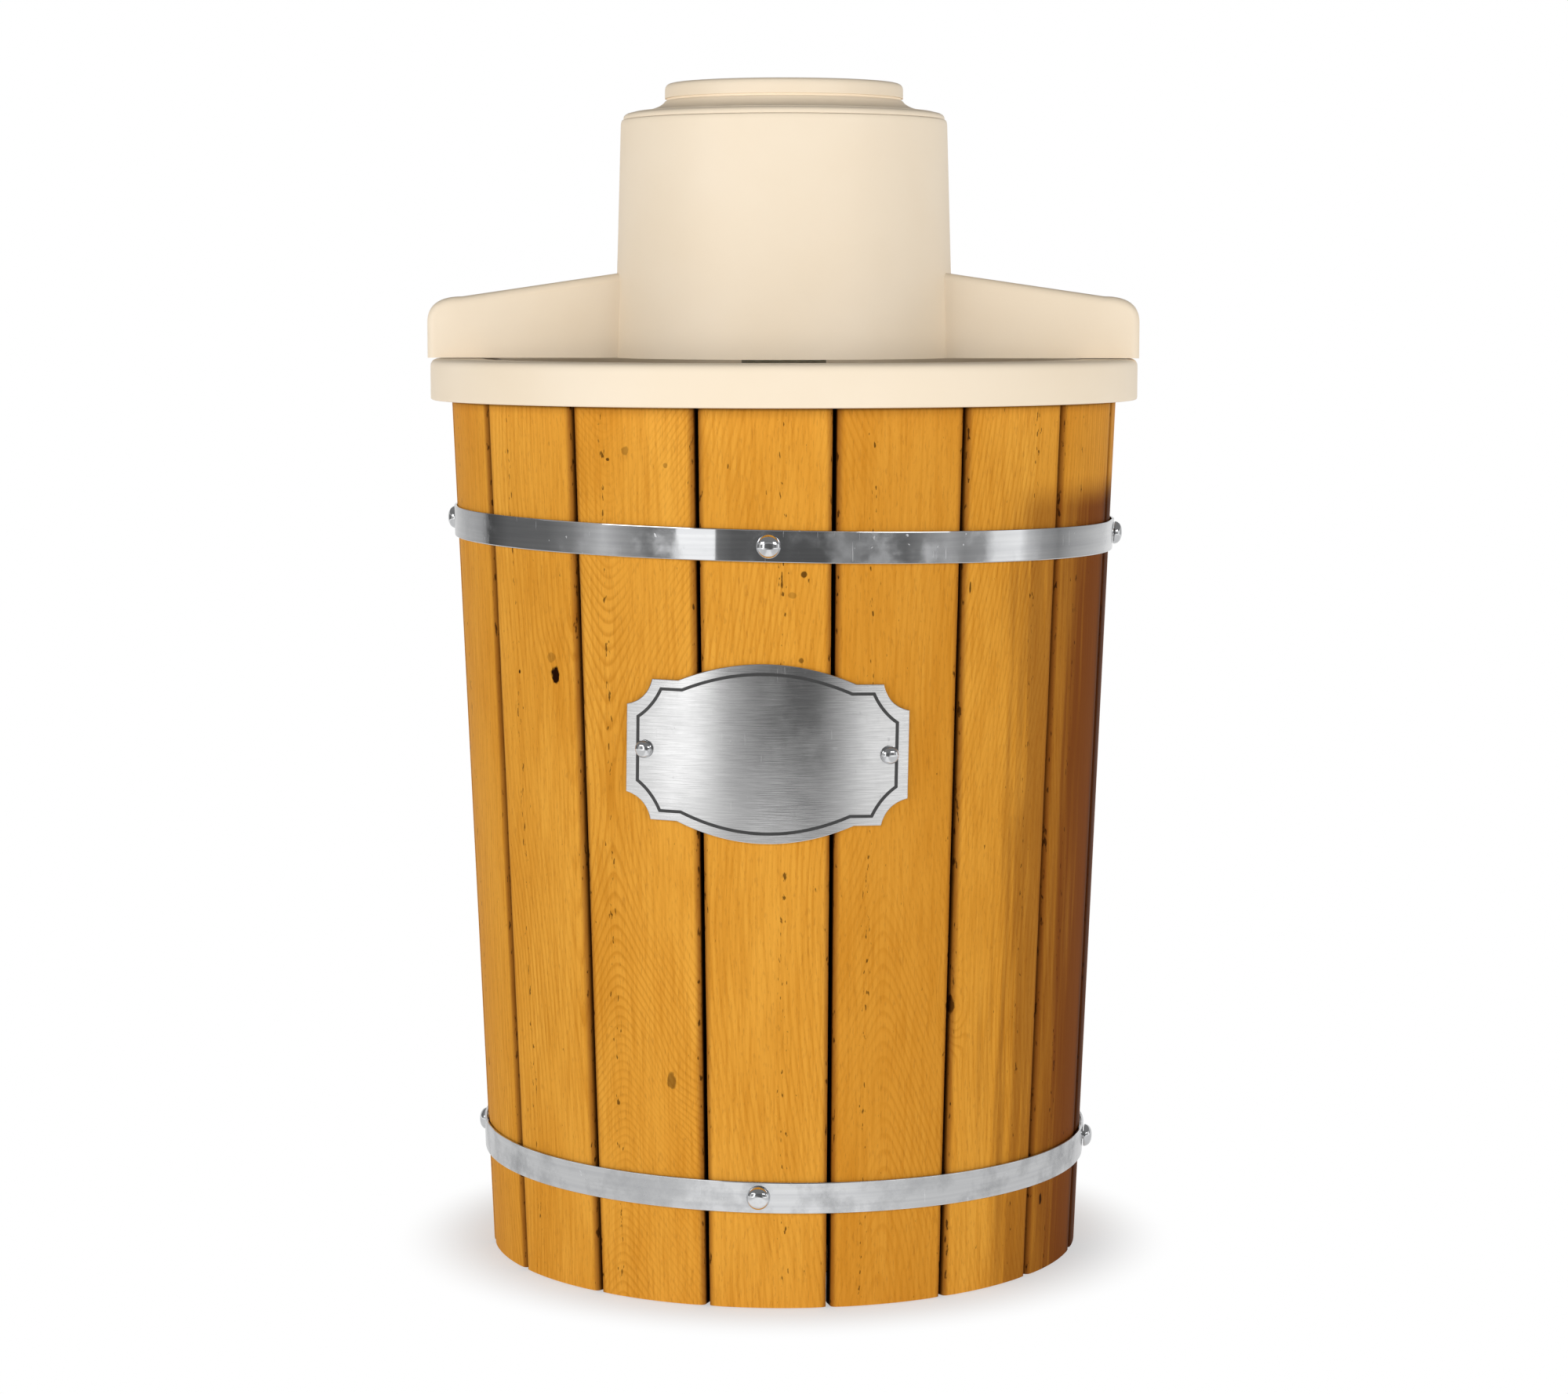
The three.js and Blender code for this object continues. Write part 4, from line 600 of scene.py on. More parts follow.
def speck_row(tree, plank, own):
    """Rows of tiny dark pits that run up some staves."""
    across = node(tree, "ShaderNodeSeparateXYZ", (plank,)).outputs[0]
    seed = node(tree, "ShaderNodeAttribute", attribute_name="stave_seed").outputs["Fac"]
    # A row stands up to 14 mm off the stave's middle, and its pits thin out over 3 mm
    row = node(tree, "ShaderNodeMapRange", (seed, 0.0, 1.0, -0.014, 0.014))
    off = node(tree, "ShaderNodeMath", (across, row), operation="SUBTRACT")
    off = node(tree, "ShaderNodeMath", (off,), operation="ABSOLUTE")
    near = node(tree, "ShaderNodeMapRange", (off, 0.0004, 0.003, 0.13, 0.0))
    pits = drawn_noise(tree, own, (900.0, 900.0, 260.0), 2.0)
    likely = node(tree, "ShaderNodeMath", (pits, near), operation="ADD")
    return node(tree, "ShaderNodeMapRange", (likely, 0.75, 0.8, 0.0, 0.75))


def varnished_pine(colours):
    """Pine staves, planed and varnished: warm honey colour, fine upright grain under soft arches."""
    made, tree, surface = finish_of("Varnished pine", Roughness=0.45, Specular_Ior_Level=0.006)
    plank = node(tree, "ShaderNodeAttribute", attribute_name="plank").outputs["Vector"]
    own_tone = node(tree, "ShaderNodeAttribute", attribute_name="varnish_tone").outputs["Fac"]
    number = node(tree, "ShaderNodeAttribute", attribute_name="stave_number").outputs["Fac"]
    apart = node(tree, "ShaderNodeCombineXYZ", (number,))
    own = node(tree, "ShaderNodeVectorMath", (plank, apart), operation="ADD")
    knots, swerve = knot_marks(tree, own)
    rings = ring_figure(tree, plank, own, swerve)
    ring = node(tree, "ShaderNodeMath", (rings, 0.42), operation="MULTIPLY")
    # Streaks 1.1 mm wide and some 80 mm long
    streak = drawn_noise(tree, own, (900.0, 900.0, 12.0), 3.0)
    line = node(tree, "ShaderNodeMapRange", (streak, 0.42, 0.72, 0.0, 0.45))
    # Pores 0.6 mm wide and 3 mm long, coarser than real ones so that they show
    pores = drawn_noise(tree, own, (1700.0, 1700.0, 300.0), 2.0)
    pore = node(tree, "ShaderNodeMapRange", (pores, 0.55, 0.72, 0.0, 0.2))
    # Clouds 20 mm wide and 80 mm high in the varnish
    cloud = drawn_noise(tree, own, (50.0, 50.0, 12.0), 4.0)
    light = node(tree, "ShaderNodeMapRange", (cloud, 0.3, 0.7))
    brown, black = stain_and_shade_depth(tree, own)
    painted_edge_shade, painted_seam_shade_and_chips = seam_shade_and_chips(tree, plank, own)
    pits = speck_row(tree, plank, own)
    # Some layers are painted shade: on the right flank, on the rounded edges, deep in the seams and under the
    # rim
    layers = (
        (light, colours.wood), (own_tone, colours.wood_grain), (line, colours.wood_grain),
        (ring, colours.wood_grain), (pore, colours.wood_stain_and_shade), (brown, colours.wood_stain_and_shade),
        (painted_edge_shade, colours.wood_stain_and_shade), (black, colours.wood_dark_and_shade), (pits, colours.wood_dark_and_shade),
        (knots, colours.wood_dark_and_shade), (painted_seam_shade_and_chips, colours.wood_dark_and_shade),
    )
    relief = node(tree, "ShaderNodeMath", (streak, pore), operation="SUBTRACT")
    relief = node(tree, "ShaderNodeMath", (relief, knots), operation="SUBTRACT")
    dress(tree, surface, layered(tree, colours.wood_light, *layers), relief, 0.06, 0.2)
    return made


def planed_board(name, pale, deep):
    """Bare hardwood, planed: pale straw colour with close straight grain and no shine."""
    made, tree, surface = finish_of(name, Roughness=0.62)
    place = node(tree, "ShaderNodeTexCoord").outputs["Object"]
    # Grain lines 1.2 mm apart that run along X on the board and up the scrapers
    grain = drawn_noise(tree, place, (14.0, 800.0, 22.0), 3.0)
    share = node(tree, "ShaderNodeMapRange", (grain, 0.35, 0.7))
    dress(tree, surface, layered(tree, linear(pale), (share, linear(deep))), grain, 0.4, 0.2)
    return made


def worked_steel(name, pale, deep, stretch, roughness, wear=0.2, relief=0.25, dull=None):
    """Steel with fine lines from rolling or brushing, handling smudges, specks and short scratches."""
    made, tree, surface = finish_of(name, Metallic=1.0)
    place = node(tree, "ShaderNodeTexCoord").outputs["Object"]
    lines = drawn_noise(tree, place, stretch, 3.0)
    # Smudges 10 to 30 mm across
    smudge = node(tree, "ShaderNodeTexNoise", {"Vector": place, "Scale": 70.0, "Detail": 5.0,
                                               "Roughness": 0.62})
    haze = node(tree, "ShaderNodeMapRange", (smudge, 0.45, 0.68))
    # Scratches 0.2 mm wide and specks 1 mm wide, drawn a little coarser than real ones
    askew = node(tree, "ShaderNodeMapping", {"Vector": place, "Rotation": (0.5, 0.4, 0.9),
                                             "Scale": (2000, 70, 90)})
    hair = node(tree, "ShaderNodeTexNoise", {"Vector": askew, "Scale": 1.0, "Detail": 1.0})
    scratch = node(tree, "ShaderNodeMapRange", (hair, 0.74, 0.79))
    dust = node(tree, "ShaderNodeTexNoise", {"Vector": place, "Scale": 420.0, "Detail": 1.0})
    speck = node(tree, "ShaderNodeMapRange", (dust, 0.76, 0.8))
    bright = node(tree, "ShaderNodeMath", (scratch, speck), operation="MAXIMUM")
    bright = node(tree, "ShaderNodeMath", (bright, wear), operation="MULTIPLY")
    dulled = node(tree, "ShaderNodeMath", (haze, wear), operation="MULTIPLY")
    toned = node(tree, "ShaderNodeMapRange", (lines, 0.3, 0.7))
    colour = layered(tree, linear(deep), (toned, linear(pale)), (dulled, linear(dull or deep)))
    blurred = node(tree, "ShaderNodeMath", (dulled, 0.35, roughness), operation="MULTIPLY_ADD")
    rough = node(tree, "ShaderNodeMath", (bright, 0.6, blurred), operation="MULTIPLY_ADD")
    tree.links.new(rough.outputs[0], surface.inputs["Roughness"])
    dress(tree, surface, colour, lines, relief, 0.05)
    return made


def moulded_plastic(name, pale, deep, roughness, grain=0.6, **shader):
    """Moulded plastic: even colour with faint flow clouds and a fine spark-eroded grain."""
    made, tree, surface = finish_of(name, Roughness=roughness, **shader)
    place = node(tree, "ShaderNodeTexCoord").outputs["Object"]
    flow = node(tree, "ShaderNodeTexNoise", {"Vector": place, "Scale": 18.0, "Detail": 3.0})
    share = node(tree, "ShaderNodeMapRange", (flow, 0.3, 0.75))
    # Mould grain, with grains of the size given in millimetres
    pits = node(tree, "ShaderNodeTexNoise", {"Vector": place, "Scale": 1 / (grain * MM), "Detail": 2.0})
    dress(tree, surface, layered(tree, pale, (share, deep)), pits, 0.18, 0.08)
    return made


def cream_plastic(context):
    """ABS, moulded with a satin grain: warm ivory, soft broad sheen."""
    colours = context.scene.freezer_colours
    known = bpy.data.materials.get("Ivory ABS")
    return known or moulded_plastic("Ivory ABS", colours.cream, colours.cream_deep, 0.5,
                                    Specular_Ior_Level=0.3)


# What a user would change


def length_of(name, description, default, low, high):
    """A size in millimetres, between two limits."""
    told = f"{description}, in millimetres"
    return FloatProperty(name=name, description=told, default=default, min=low, max=high)


def colour_of(name, description, code):
    """A colour, from its sRGB hex value."""
    return FloatVectorProperty(name=name, description=description, subtype="COLOR",
                               default=linear(code), min=0, max=1)


def power_of(name, default):
    """A lamp's strength."""
    return FloatProperty(name=name, description=f"Strength of the {name.lower()}", subtype="POWER",
                         unit="POWER", default=default, min=0)


class FreezerSizes(bpy.types.PropertyGroup):
    stave_gap: length_of("Stave gap", "Open seam between two staves", 1.3, 0.2, 4)
    stave_crown: length_of("Stave crown", "How far a stave's face bows out", 2.1, 0, 4)
    stave_edge: length_of("Stave edge", "Rounding of a stave's long edges", 1.8, 0.5, 4)
    edge_wear: length_of("Edge wear", "Depth of wear along stave edges", 0.25, 0, 1)
    grain_seed: IntProperty(name="Grain seed", description="Seed that deals each stave its own grain",
                            default=4, min=0)
    border_width: length_of("Border width", "Width of the plate's border line", 1.1, 0.3, 3)
    facets: IntProperty(name="Facets", description="Facets round a full turn of the large round pieces",
                        default=160, min=48, max=256)


class FreezerColours(bpy.types.PropertyGroup):
    wood: colour_of("Wood", "Varnished wood", "#DE9935")
    wood_light: colour_of("Wood light", "Lightest part of the wood", "#ECAA43")
    wood_grain: colour_of("Wood grain", "Grain lines and rings", "#BF781A")
    # The dark colour also paints shade deep in the seams, beside the right edge and under the rim, and the
    # stain colour paints shade on the right flank and the rounded edges
    wood_dark_and_shade: colour_of("Wood dark", "Knots, pits and the painted shade in the seams", "#240F05")
    wood_stain_and_shade: colour_of("Wood stain", "Stain and painted shade on the right-hand staves, pores, and painted shade on rounded edges", "#6E3412")
    cream: colour_of("Cream", "Cream plastic", "#F9E9D1")
    cream_deep: colour_of("Cream deep", "Faint clouds in the cream plastic", "#F5E3C8")


class FreezerStage(bpy.types.PropertyGroup):
    lens: FloatProperty(name="Lens", description="Focal length", subtype="DISTANCE_CAMERA", unit="CAMERA",
                        default=84.94)
    distance: FloatProperty(name="Distance", description="Camera to the bucket's axis", subtype="DISTANCE",
                            unit="LENGTH", default=1.393)
    height: FloatProperty(name="Height", description="Camera above the floor", subtype="DISTANCE",
                          unit="LENGTH", default=0.3553)
    azimuth: FloatProperty(name="Azimuth", description="Camera's turn towards +X", subtype="ANGLE",
                           unit="ROTATION", default=math.radians(3.05))
    pitch: FloatProperty(name="Pitch", description="Camera's tilt down", subtype="ANGLE",
                         unit="ROTATION", default=math.radians(6.11))
    sky: FloatProperty(name="Sky", description="Strength of the light from the horizon", default=1.05, min=0)
    zenith: FloatProperty(name="Zenith", description="Strength of the light from straight above",
                          default=0.05, min=0)
    key: power_of("Key lamp", 20.2)
    fill: power_of("Fill lamp", 18.4)


# Pieces


class FREEZER_OT_stage(bpy.types.Operator):
    """Sets the pale floor, the soft lamps, the reflector cards and the camera"""
    bl_idname = "freezer.stage"
    bl_label = "Stage"

    def execute(self, context):
        stage = context.scene.freezer_stage
        context.scene.view_settings.view_transform = "Standard"
        self.camera(context, stage)
        self.floor()
        self.world(context, stage)
        self.lamps(context, stage)
        self.cards()
        return {"FINISHED"}

    def camera(self, context, stage):
        """The camera, which looks across the bucket's axis and a little down."""
        data = bpy.data.cameras.new("camera")
        data.lens = stage.lens
        data.sensor_width = 36
        data.sensor_fit = "HORIZONTAL"
        camera = bpy.data.objects.new("camera", data)
        across, back = math.sin(stage.azimuth), -math.cos(stage.azimuth)
        camera.location = (stage.distance * across, stage.distance * back, stage.height)
        camera.rotation_euler = (math.radians(90) - stage.pitch, 0, stage.azimuth)
        context.scene.collection.objects.link(camera)
        context.scene.camera = camera

    def bare_material(self, name):
        """A new material with an empty tree."""
        made = bpy.data.materials.new(name)
        made.use_nodes = True
        made.node_tree.nodes.clear()
        return made, made.node_tree

    def seen(self, tree):
        """One where a ray comes from the camera, a gloss or a clear piece, and nought elsewhere."""
        rays = node(tree, "ShaderNodeLightPath").outputs
        two = (rays["Is Camera Ray"], rays["Is Glossy Ray"])
        either = node(tree, "ShaderNodeMath", two, operation="MAXIMUM")
        return node(tree, "ShaderNodeMath", (either, rays["Is Transmission Ray"]), operation="MAXIMUM")

    def floor(self):
        """Painted board: near white, with no shine, and pure white a little way off the foot."""
        low, high, reach = FLOOR_TOP - 2, FLOOR_TOP, 4000
        outline = [(0, high), (260, high), (600, high), (reach, high), (reach, low), (0, low)]
        floor = lathe("floor", outline, 96)
        made, tree = self.bare_material("Painted board")
        place = node(tree, "ShaderNodeTexCoord").outputs["Object"]
        away = node(tree, "ShaderNodeVectorMath", (place,), operation="LENGTH").outputs["Value"]
        # The glow grows from the foot, 104 mm out, and is full at 150 mm
        far = node(tree, "ShaderNodeMapRange", (away, 0.104, 0.15, 0.5), interpolation_type="SMOOTHSTEP")
        glowing = node(tree, "ShaderNodeMapRange", (self.seen(tree), 0.0, 1.0, 0.45))
        shown = node(tree, "ShaderNodeMath", (far, glowing), operation="MULTIPLY")
        # Gloss sees a floor that is dimmer off to the sides, so that the lower hoop shades off there
        side = node(tree, "ShaderNodeSeparateXYZ", (place,)).outputs[0]
        side = node(tree, "ShaderNodeMath", (side,), operation="ABSOLUTE")
        given = (side, 0.05, 0.16, 1.0, 0.72)
        dimmed = node(tree, "ShaderNodeMapRange", given, interpolation_type="SMOOTHSTEP")
        gloss = node(tree, "ShaderNodeLightPath").outputs["Is Glossy Ray"]
        level = node(tree, "ShaderNodeMapRange", (gloss, 0.0, 1.0, 1.0, dimmed))
        paint = node(tree, "ShaderNodeBsdfDiffuse", {"Color": (*linear("#F4F4F4"), 1)})
        glow = node(tree, "ShaderNodeEmission", (WHITE, level))
        mixed = node(tree, "ShaderNodeMixShader", (shown, paint, glow))
        node(tree, "ShaderNodeOutputMaterial", (mixed,))
        floor.data.materials.append(made)

    def world(self, context, stage):
        """Soft light from all round, strongest at the horizon, and plain white behind the object."""
        world = bpy.data.worlds.new("studio")
        world.use_nodes = True
        tree = world.node_tree
        tree.nodes.clear()
        ahead = node(tree, "ShaderNodeTexCoord").outputs["Generated"]
        up = node(tree, "ShaderNodeSeparateXYZ", (ahead,)).outputs[2]
        level = node(tree, "ShaderNodeMapRange", (up, 0.05, 0.6, stage.sky, stage.zenith))
        sky = node(tree, "ShaderNodeBackground", (WHITE, level))
        white = node(tree, "ShaderNodeBackground", (WHITE, 1.0))
        # Gloss sees a dim ceiling over the lamps, so that the domed rivets have a dark upper half
        ceiling = node(tree, "ShaderNodeMapRange", (up, 0.1, 0.3, 0.9, 0.22))
        dim = node(tree, "ShaderNodeBackground", (WHITE, ceiling))
        gloss = node(tree, "ShaderNodeLightPath").outputs["Is Glossy Ray"]
        shown = node(tree, "ShaderNodeMixShader", (gloss, white, dim))
        mixed = node(tree, "ShaderNodeMixShader", (self.seen(tree), sky, shown))
        node(tree, "ShaderNodeOutputWorld", (mixed,))
        context.scene.world = world

    def lamps(self, context, stage):
        """Two soft lamps ahead of the object, one off to each side, turned to its middle."""
        for name, side, power in (("key_lamp", -1, stage.key), ("fill_lamp", 1, stage.fill)):
            data = bpy.data.lights.new(name, "AREA")
            data.energy = power
            data.size = LAMP_SIZE
            lamp = bpy.data.objects.new(name, data)
            lamp.location = (side * LAMP_PLACE[0], LAMP_PLACE[1], LAMP_PLACE[2])
            lamp.rotation_euler = (Vector(LAMP_AIM) - lamp.location).to_track_quat("-Z", "Y").to_euler()
            context.scene.collection.objects.link(lamp)

    def cards(self):
        """Two rings of grey cards that only gloss sees, so that bright metal has something to show."""
        for name, low, high, levels in (("low_cards", FLOOR_TOP + 0.1, CARD_SEAM, LOW_CARDS),
                                        ("high_cards", CARD_SEAM, CARD_TOP, HIGH_CARDS)):
            made, tree = self.bare_material(name)
            level = node(tree, "ShaderNodeAttribute", attribute_name="level").outputs["Fac"]
            glow = node(tree, "ShaderNodeEmission", (WHITE, level))
            node(tree, "ShaderNodeOutputMaterial", (glow,))
            turns = sorted({*range(-180, 180, 3), *(turn for turn, _ in levels[:-1])})
            ring = [(math.sin(math.radians(turn)), -math.cos(math.radians(turn))) for turn in turns]
            rings = [[(CARD_RADIUS * x, CARD_RADIUS * y, height) for x, y in ring] for height in (low, high)]
            card = loft(name, rings)
            met = [math.degrees(math.atan2(v.co.x, -v.co.y)) for v in card.data.vertices]
            keep(card.data, "level", "FLOAT", np.interp(met, *zip(*levels)))
            card.data.materials.append(made)
            card.visible_camera = False
            card.visible_diffuse = False
            card.visible_shadow = False
            card.visible_transmission = False


class FREEZER_OT_staves(bpy.types.Operator):
    """Makes the ring of staves from one stave, each with its own grain and worn edges"""
    bl_idname = "freezer.staves"
    bl_label = "Staves"

    def execute(self, context):
        sizes = context.scene.freezer_sizes
        staves = self.one_stave(sizes)
        finish = varnished_pine(context.scene.freezer_colours)
        run_tree(staves, *self.ring_tree(), {
            "Staves": STAVES, "First angle": FRONT, "Seed": sizes.grain_seed,
            "Wear": sizes.edge_wear * MM, "Finish": finish,
        })
        cut_drain(staves, reach=30, crease=50)
        self.number(staves, sizes)
        nodes = [f"stave_{i:02d}" for i in range(1, STAVES + 1)]
        stand_for(staves, "bucket", "stave_wood", finish, *nodes)
        return {"FINISHED"}

    def section(self, sizes, height, croze):
        """Points (out, across) round one stave's section at a height, with its croze so deep."""
        half = math.pi / STAVES
        face = wall_radius(height)
        edge = face - sizes.stave_crown

        def side(radius, gap=sizes.stave_gap):
            return radius * math.tan(half) - gap / 2 / math.cos(half)

        low = edge - sizes.stave_edge
        turn = side(edge) - sizes.stave_edge
        bow = sizes.stave_crown * (side(edge) ** 2 - turn ** 2) / side(edge) ** 2
        inner = face - STAVE_THICKNESS + croze
        middle = low - 2 * sizes.stave_edge
        crown = face + sizes.stave_crown - bow
        outline = [(inner, -side(inner, FIT)), (middle, -side(middle, FIT))]
        outline += curve_points((low, -side(low)), (edge, -side(edge)), (edge + bow, -turn), 4)
        outline += curve_points((edge + bow, -turn), (crown, 0), (edge + bow, turn), 12)[1:-1]
        outline += curve_points((edge + bow, turn), (edge, side(edge)), (low, side(low)), 4)
        outline += [(middle, side(middle, FIT)), (inner, side(inner, FIT))]
        outline += [(inner, side(inner, FIT) * share) for share in (0.5, 0, -0.5)]
        return outline

    def one_stave(self, sizes):
        """The first stave, with where each point lies on it and how near to its long edges."""
        low, high, depth = CROZE
        levels = [(height, 0.0) for height in (0.0, 0.5, 4.0, 8.0, low)]
        levels += [(low, depth), (high, depth), (high, 0.0)]
        # From here up the levels stand 4 mm apart, close enough for the wear along the edges
        levels += [(height, 0.0) for height in np.linspace(25.0, STAVE_TOP, 78)]
        rings = [[(out, across, height) for out, across in self.section(sizes, height, croze)]
                 for height, croze in levels]
        stave = loft("staves", rings, "capped", 50)
        out, across, height = np.array([v.co for v in stave.data.vertices]).T / MM
        limit = np.minimum(out, wall_radius(height) - sizes.stave_crown) * math.tan(math.pi / STAVES)
        share = np.abs(across) / (limit - sizes.stave_gap / 2)
        plank = np.stack([across, out - BASE_RADIUS, height], axis=1) * MM
        keep(stave.data, "plank", "FLOAT_VECTOR", plank)
        keep(stave.data, "edge_share", "FLOAT", share)
        return stave

    def number(self, staves, sizes):
        """Numbers the staves from the front one, and gives each the way that its grain runs."""
        spots = np.array([v.co for v in staves.data.vertices])
        step = 2 * math.pi / STAVES
        numbers = np.round(np.arctan2(spots[:, 0], -spots[:, 1]) / step)
        numbers[numbers == -STAVES / 2] = STAVES / 2
        keep(staves.data, "stave_number", "FLOAT", numbers)
        deal = np.random.default_rng(sizes.grain_seed)
        figures = np.zeros((len(spots), 3))
        tones = np.zeros(len(spots))
        for number in range(1 - STAVES // 2, STAVES // 2 + 1):
            dealt = (deal.uniform(-36, 36), deal.uniform(8, 50), deal.uniform(-3, 3), deal.uniform(0, 0.2))
            lean, steep, turned, tone = FIGURES.get(number, dealt)
            figures[numbers == number] = (lean * MM, steep * MM, turned)
            tones[numbers == number] = tone
        keep(staves.data, "figure", "FLOAT_VECTOR", figures)
        keep(staves.data, "varnish_tone", "FLOAT", tones)

    def ring_tree(self):
        """Turns one stave round the axis, deals seeds and wears the edges."""
        tree, inputs, given = new_tree("Ring of staves", {
            "Stave": "Geometry", "Staves": "Int", "First angle": "Float", "Seed": "Int", "Wear": "Float",
            "Finish": "Material",
        }, "Ring")
        points = node(tree, "GeometryNodePoints", {"Count": given["Staves"]})
        index = node(tree, "GeometryNodeInputIndex")
        step = node(tree, "ShaderNodeMath", (2 * math.pi, given["Staves"]), operation="DIVIDE")
        turn = node(tree, "ShaderNodeMath", (index, step), operation="MULTIPLY")
        angle = node(tree, "ShaderNodeMath", (turn, given["First angle"]), operation="ADD")
        turned = node(tree, "FunctionNodeAxisAngleToRotation", {"Axis": (0, 0, 1), "Angle": angle})
        ring = node(tree, "GeometryNodeInstanceOnPoints", {"Points": points, "Instance": given["Stave"],
                                                           "Rotation": turned})
        dealt = node(tree, "FunctionNodeRandomValue", {"ID": index, "Seed": given["Seed"]}, data_type="FLOAT")
        kept = node(tree, "GeometryNodeStoreNamedAttribute",
                    {"Geometry": ring, "Name": "stave_seed", "Value": dealt.outputs[1]},
                    data_type="FLOAT", domain="INSTANCE")
        real = node(tree, "GeometryNodeRealizeInstances", {"Geometry": kept})
        share = node(tree, "GeometryNodeInputNamedAttribute", {"Name": "edge_share"}, data_type="FLOAT")
        mask = node(tree, "ShaderNodeMapRange", (share, 0.82, 1.0))
        # Wear bites in dents some 6 mm wide and 20 mm long
        rough = drawn_noise(tree, node(tree, "GeometryNodeInputPosition"), (160.0, 160.0, 45.0), 2.0)
        bite = node(tree, "ShaderNodeMath", (rough, mask), operation="MULTIPLY")
        deep = node(tree, "ShaderNodeMath", (bite, given["Wear"]), operation="MULTIPLY")
        back = node(tree, "ShaderNodeMath", (deep, -1.0), operation="MULTIPLY")
        normal = node(tree, "GeometryNodeInputNormal")
        pushed = node(tree, "ShaderNodeVectorMath", {0: normal, "Scale": back}, operation="SCALE")
        worn = node(tree, "GeometryNodeSetPosition", {"Geometry": real, "Offset": pushed})
        dressed = node(tree, "GeometryNodeSetMaterial", {"Geometry": worn, "Material": given["Finish"]})
        node(tree, "NodeGroupOutput", (dressed,))
        return tree, inputs


class FREEZER_OT_hoops(bpy.types.Operator):
    """Makes the two riveted steel hoops"""
    bl_idname = "freezer.hoops"
    bl_label = "Hoops"

    def execute(self, context):
        facets = context.scene.freezer_sizes.facets
        # Rolled strip, polished: bright, with lines that run round, and more clouded on the lower hoop
        rolled = (14.0, 14.0, 700.0)
        upper = worked_steel("Polished hoop steel", "#D2D3D4", "#C4C5C7", rolled, 0.05, 0.6, 0.05)
        lower = worked_steel("Clouded hoop steel", "#DCDDDE", "#CFD0D2", rolled, 0.09, 0.7, 0.05, "#9C9D9F")
        for name, place, finish in (("upper_hoop", UPPER_HOOP, upper), ("lower_hoop", LOWER_HOOP, lower)):
            low, high = place[0] - HOOP_WIDTH / 2, place[0] + HOOP_WIDTH / 2
            foot, top = (wall_radius(height) + HOOP_STANDOFF for height in (low, high))
            corners = [(foot, low, 0.15), (foot + HOOP_THICKNESS, low, 0.35),
                       (top + HOOP_THICKNESS, high, 0.35), (top, high, 0.15)]
            # The small crease angle keeps the band's shading flat up to its rounded corners
            hoop = lathe(f"{name}_band", rounded(corners, 3), facets, hoop_frame(*place), crease=10)
            stand_for(hoop, "bucket", "hoop_steel", finish, name)
        return {"FINISHED"}


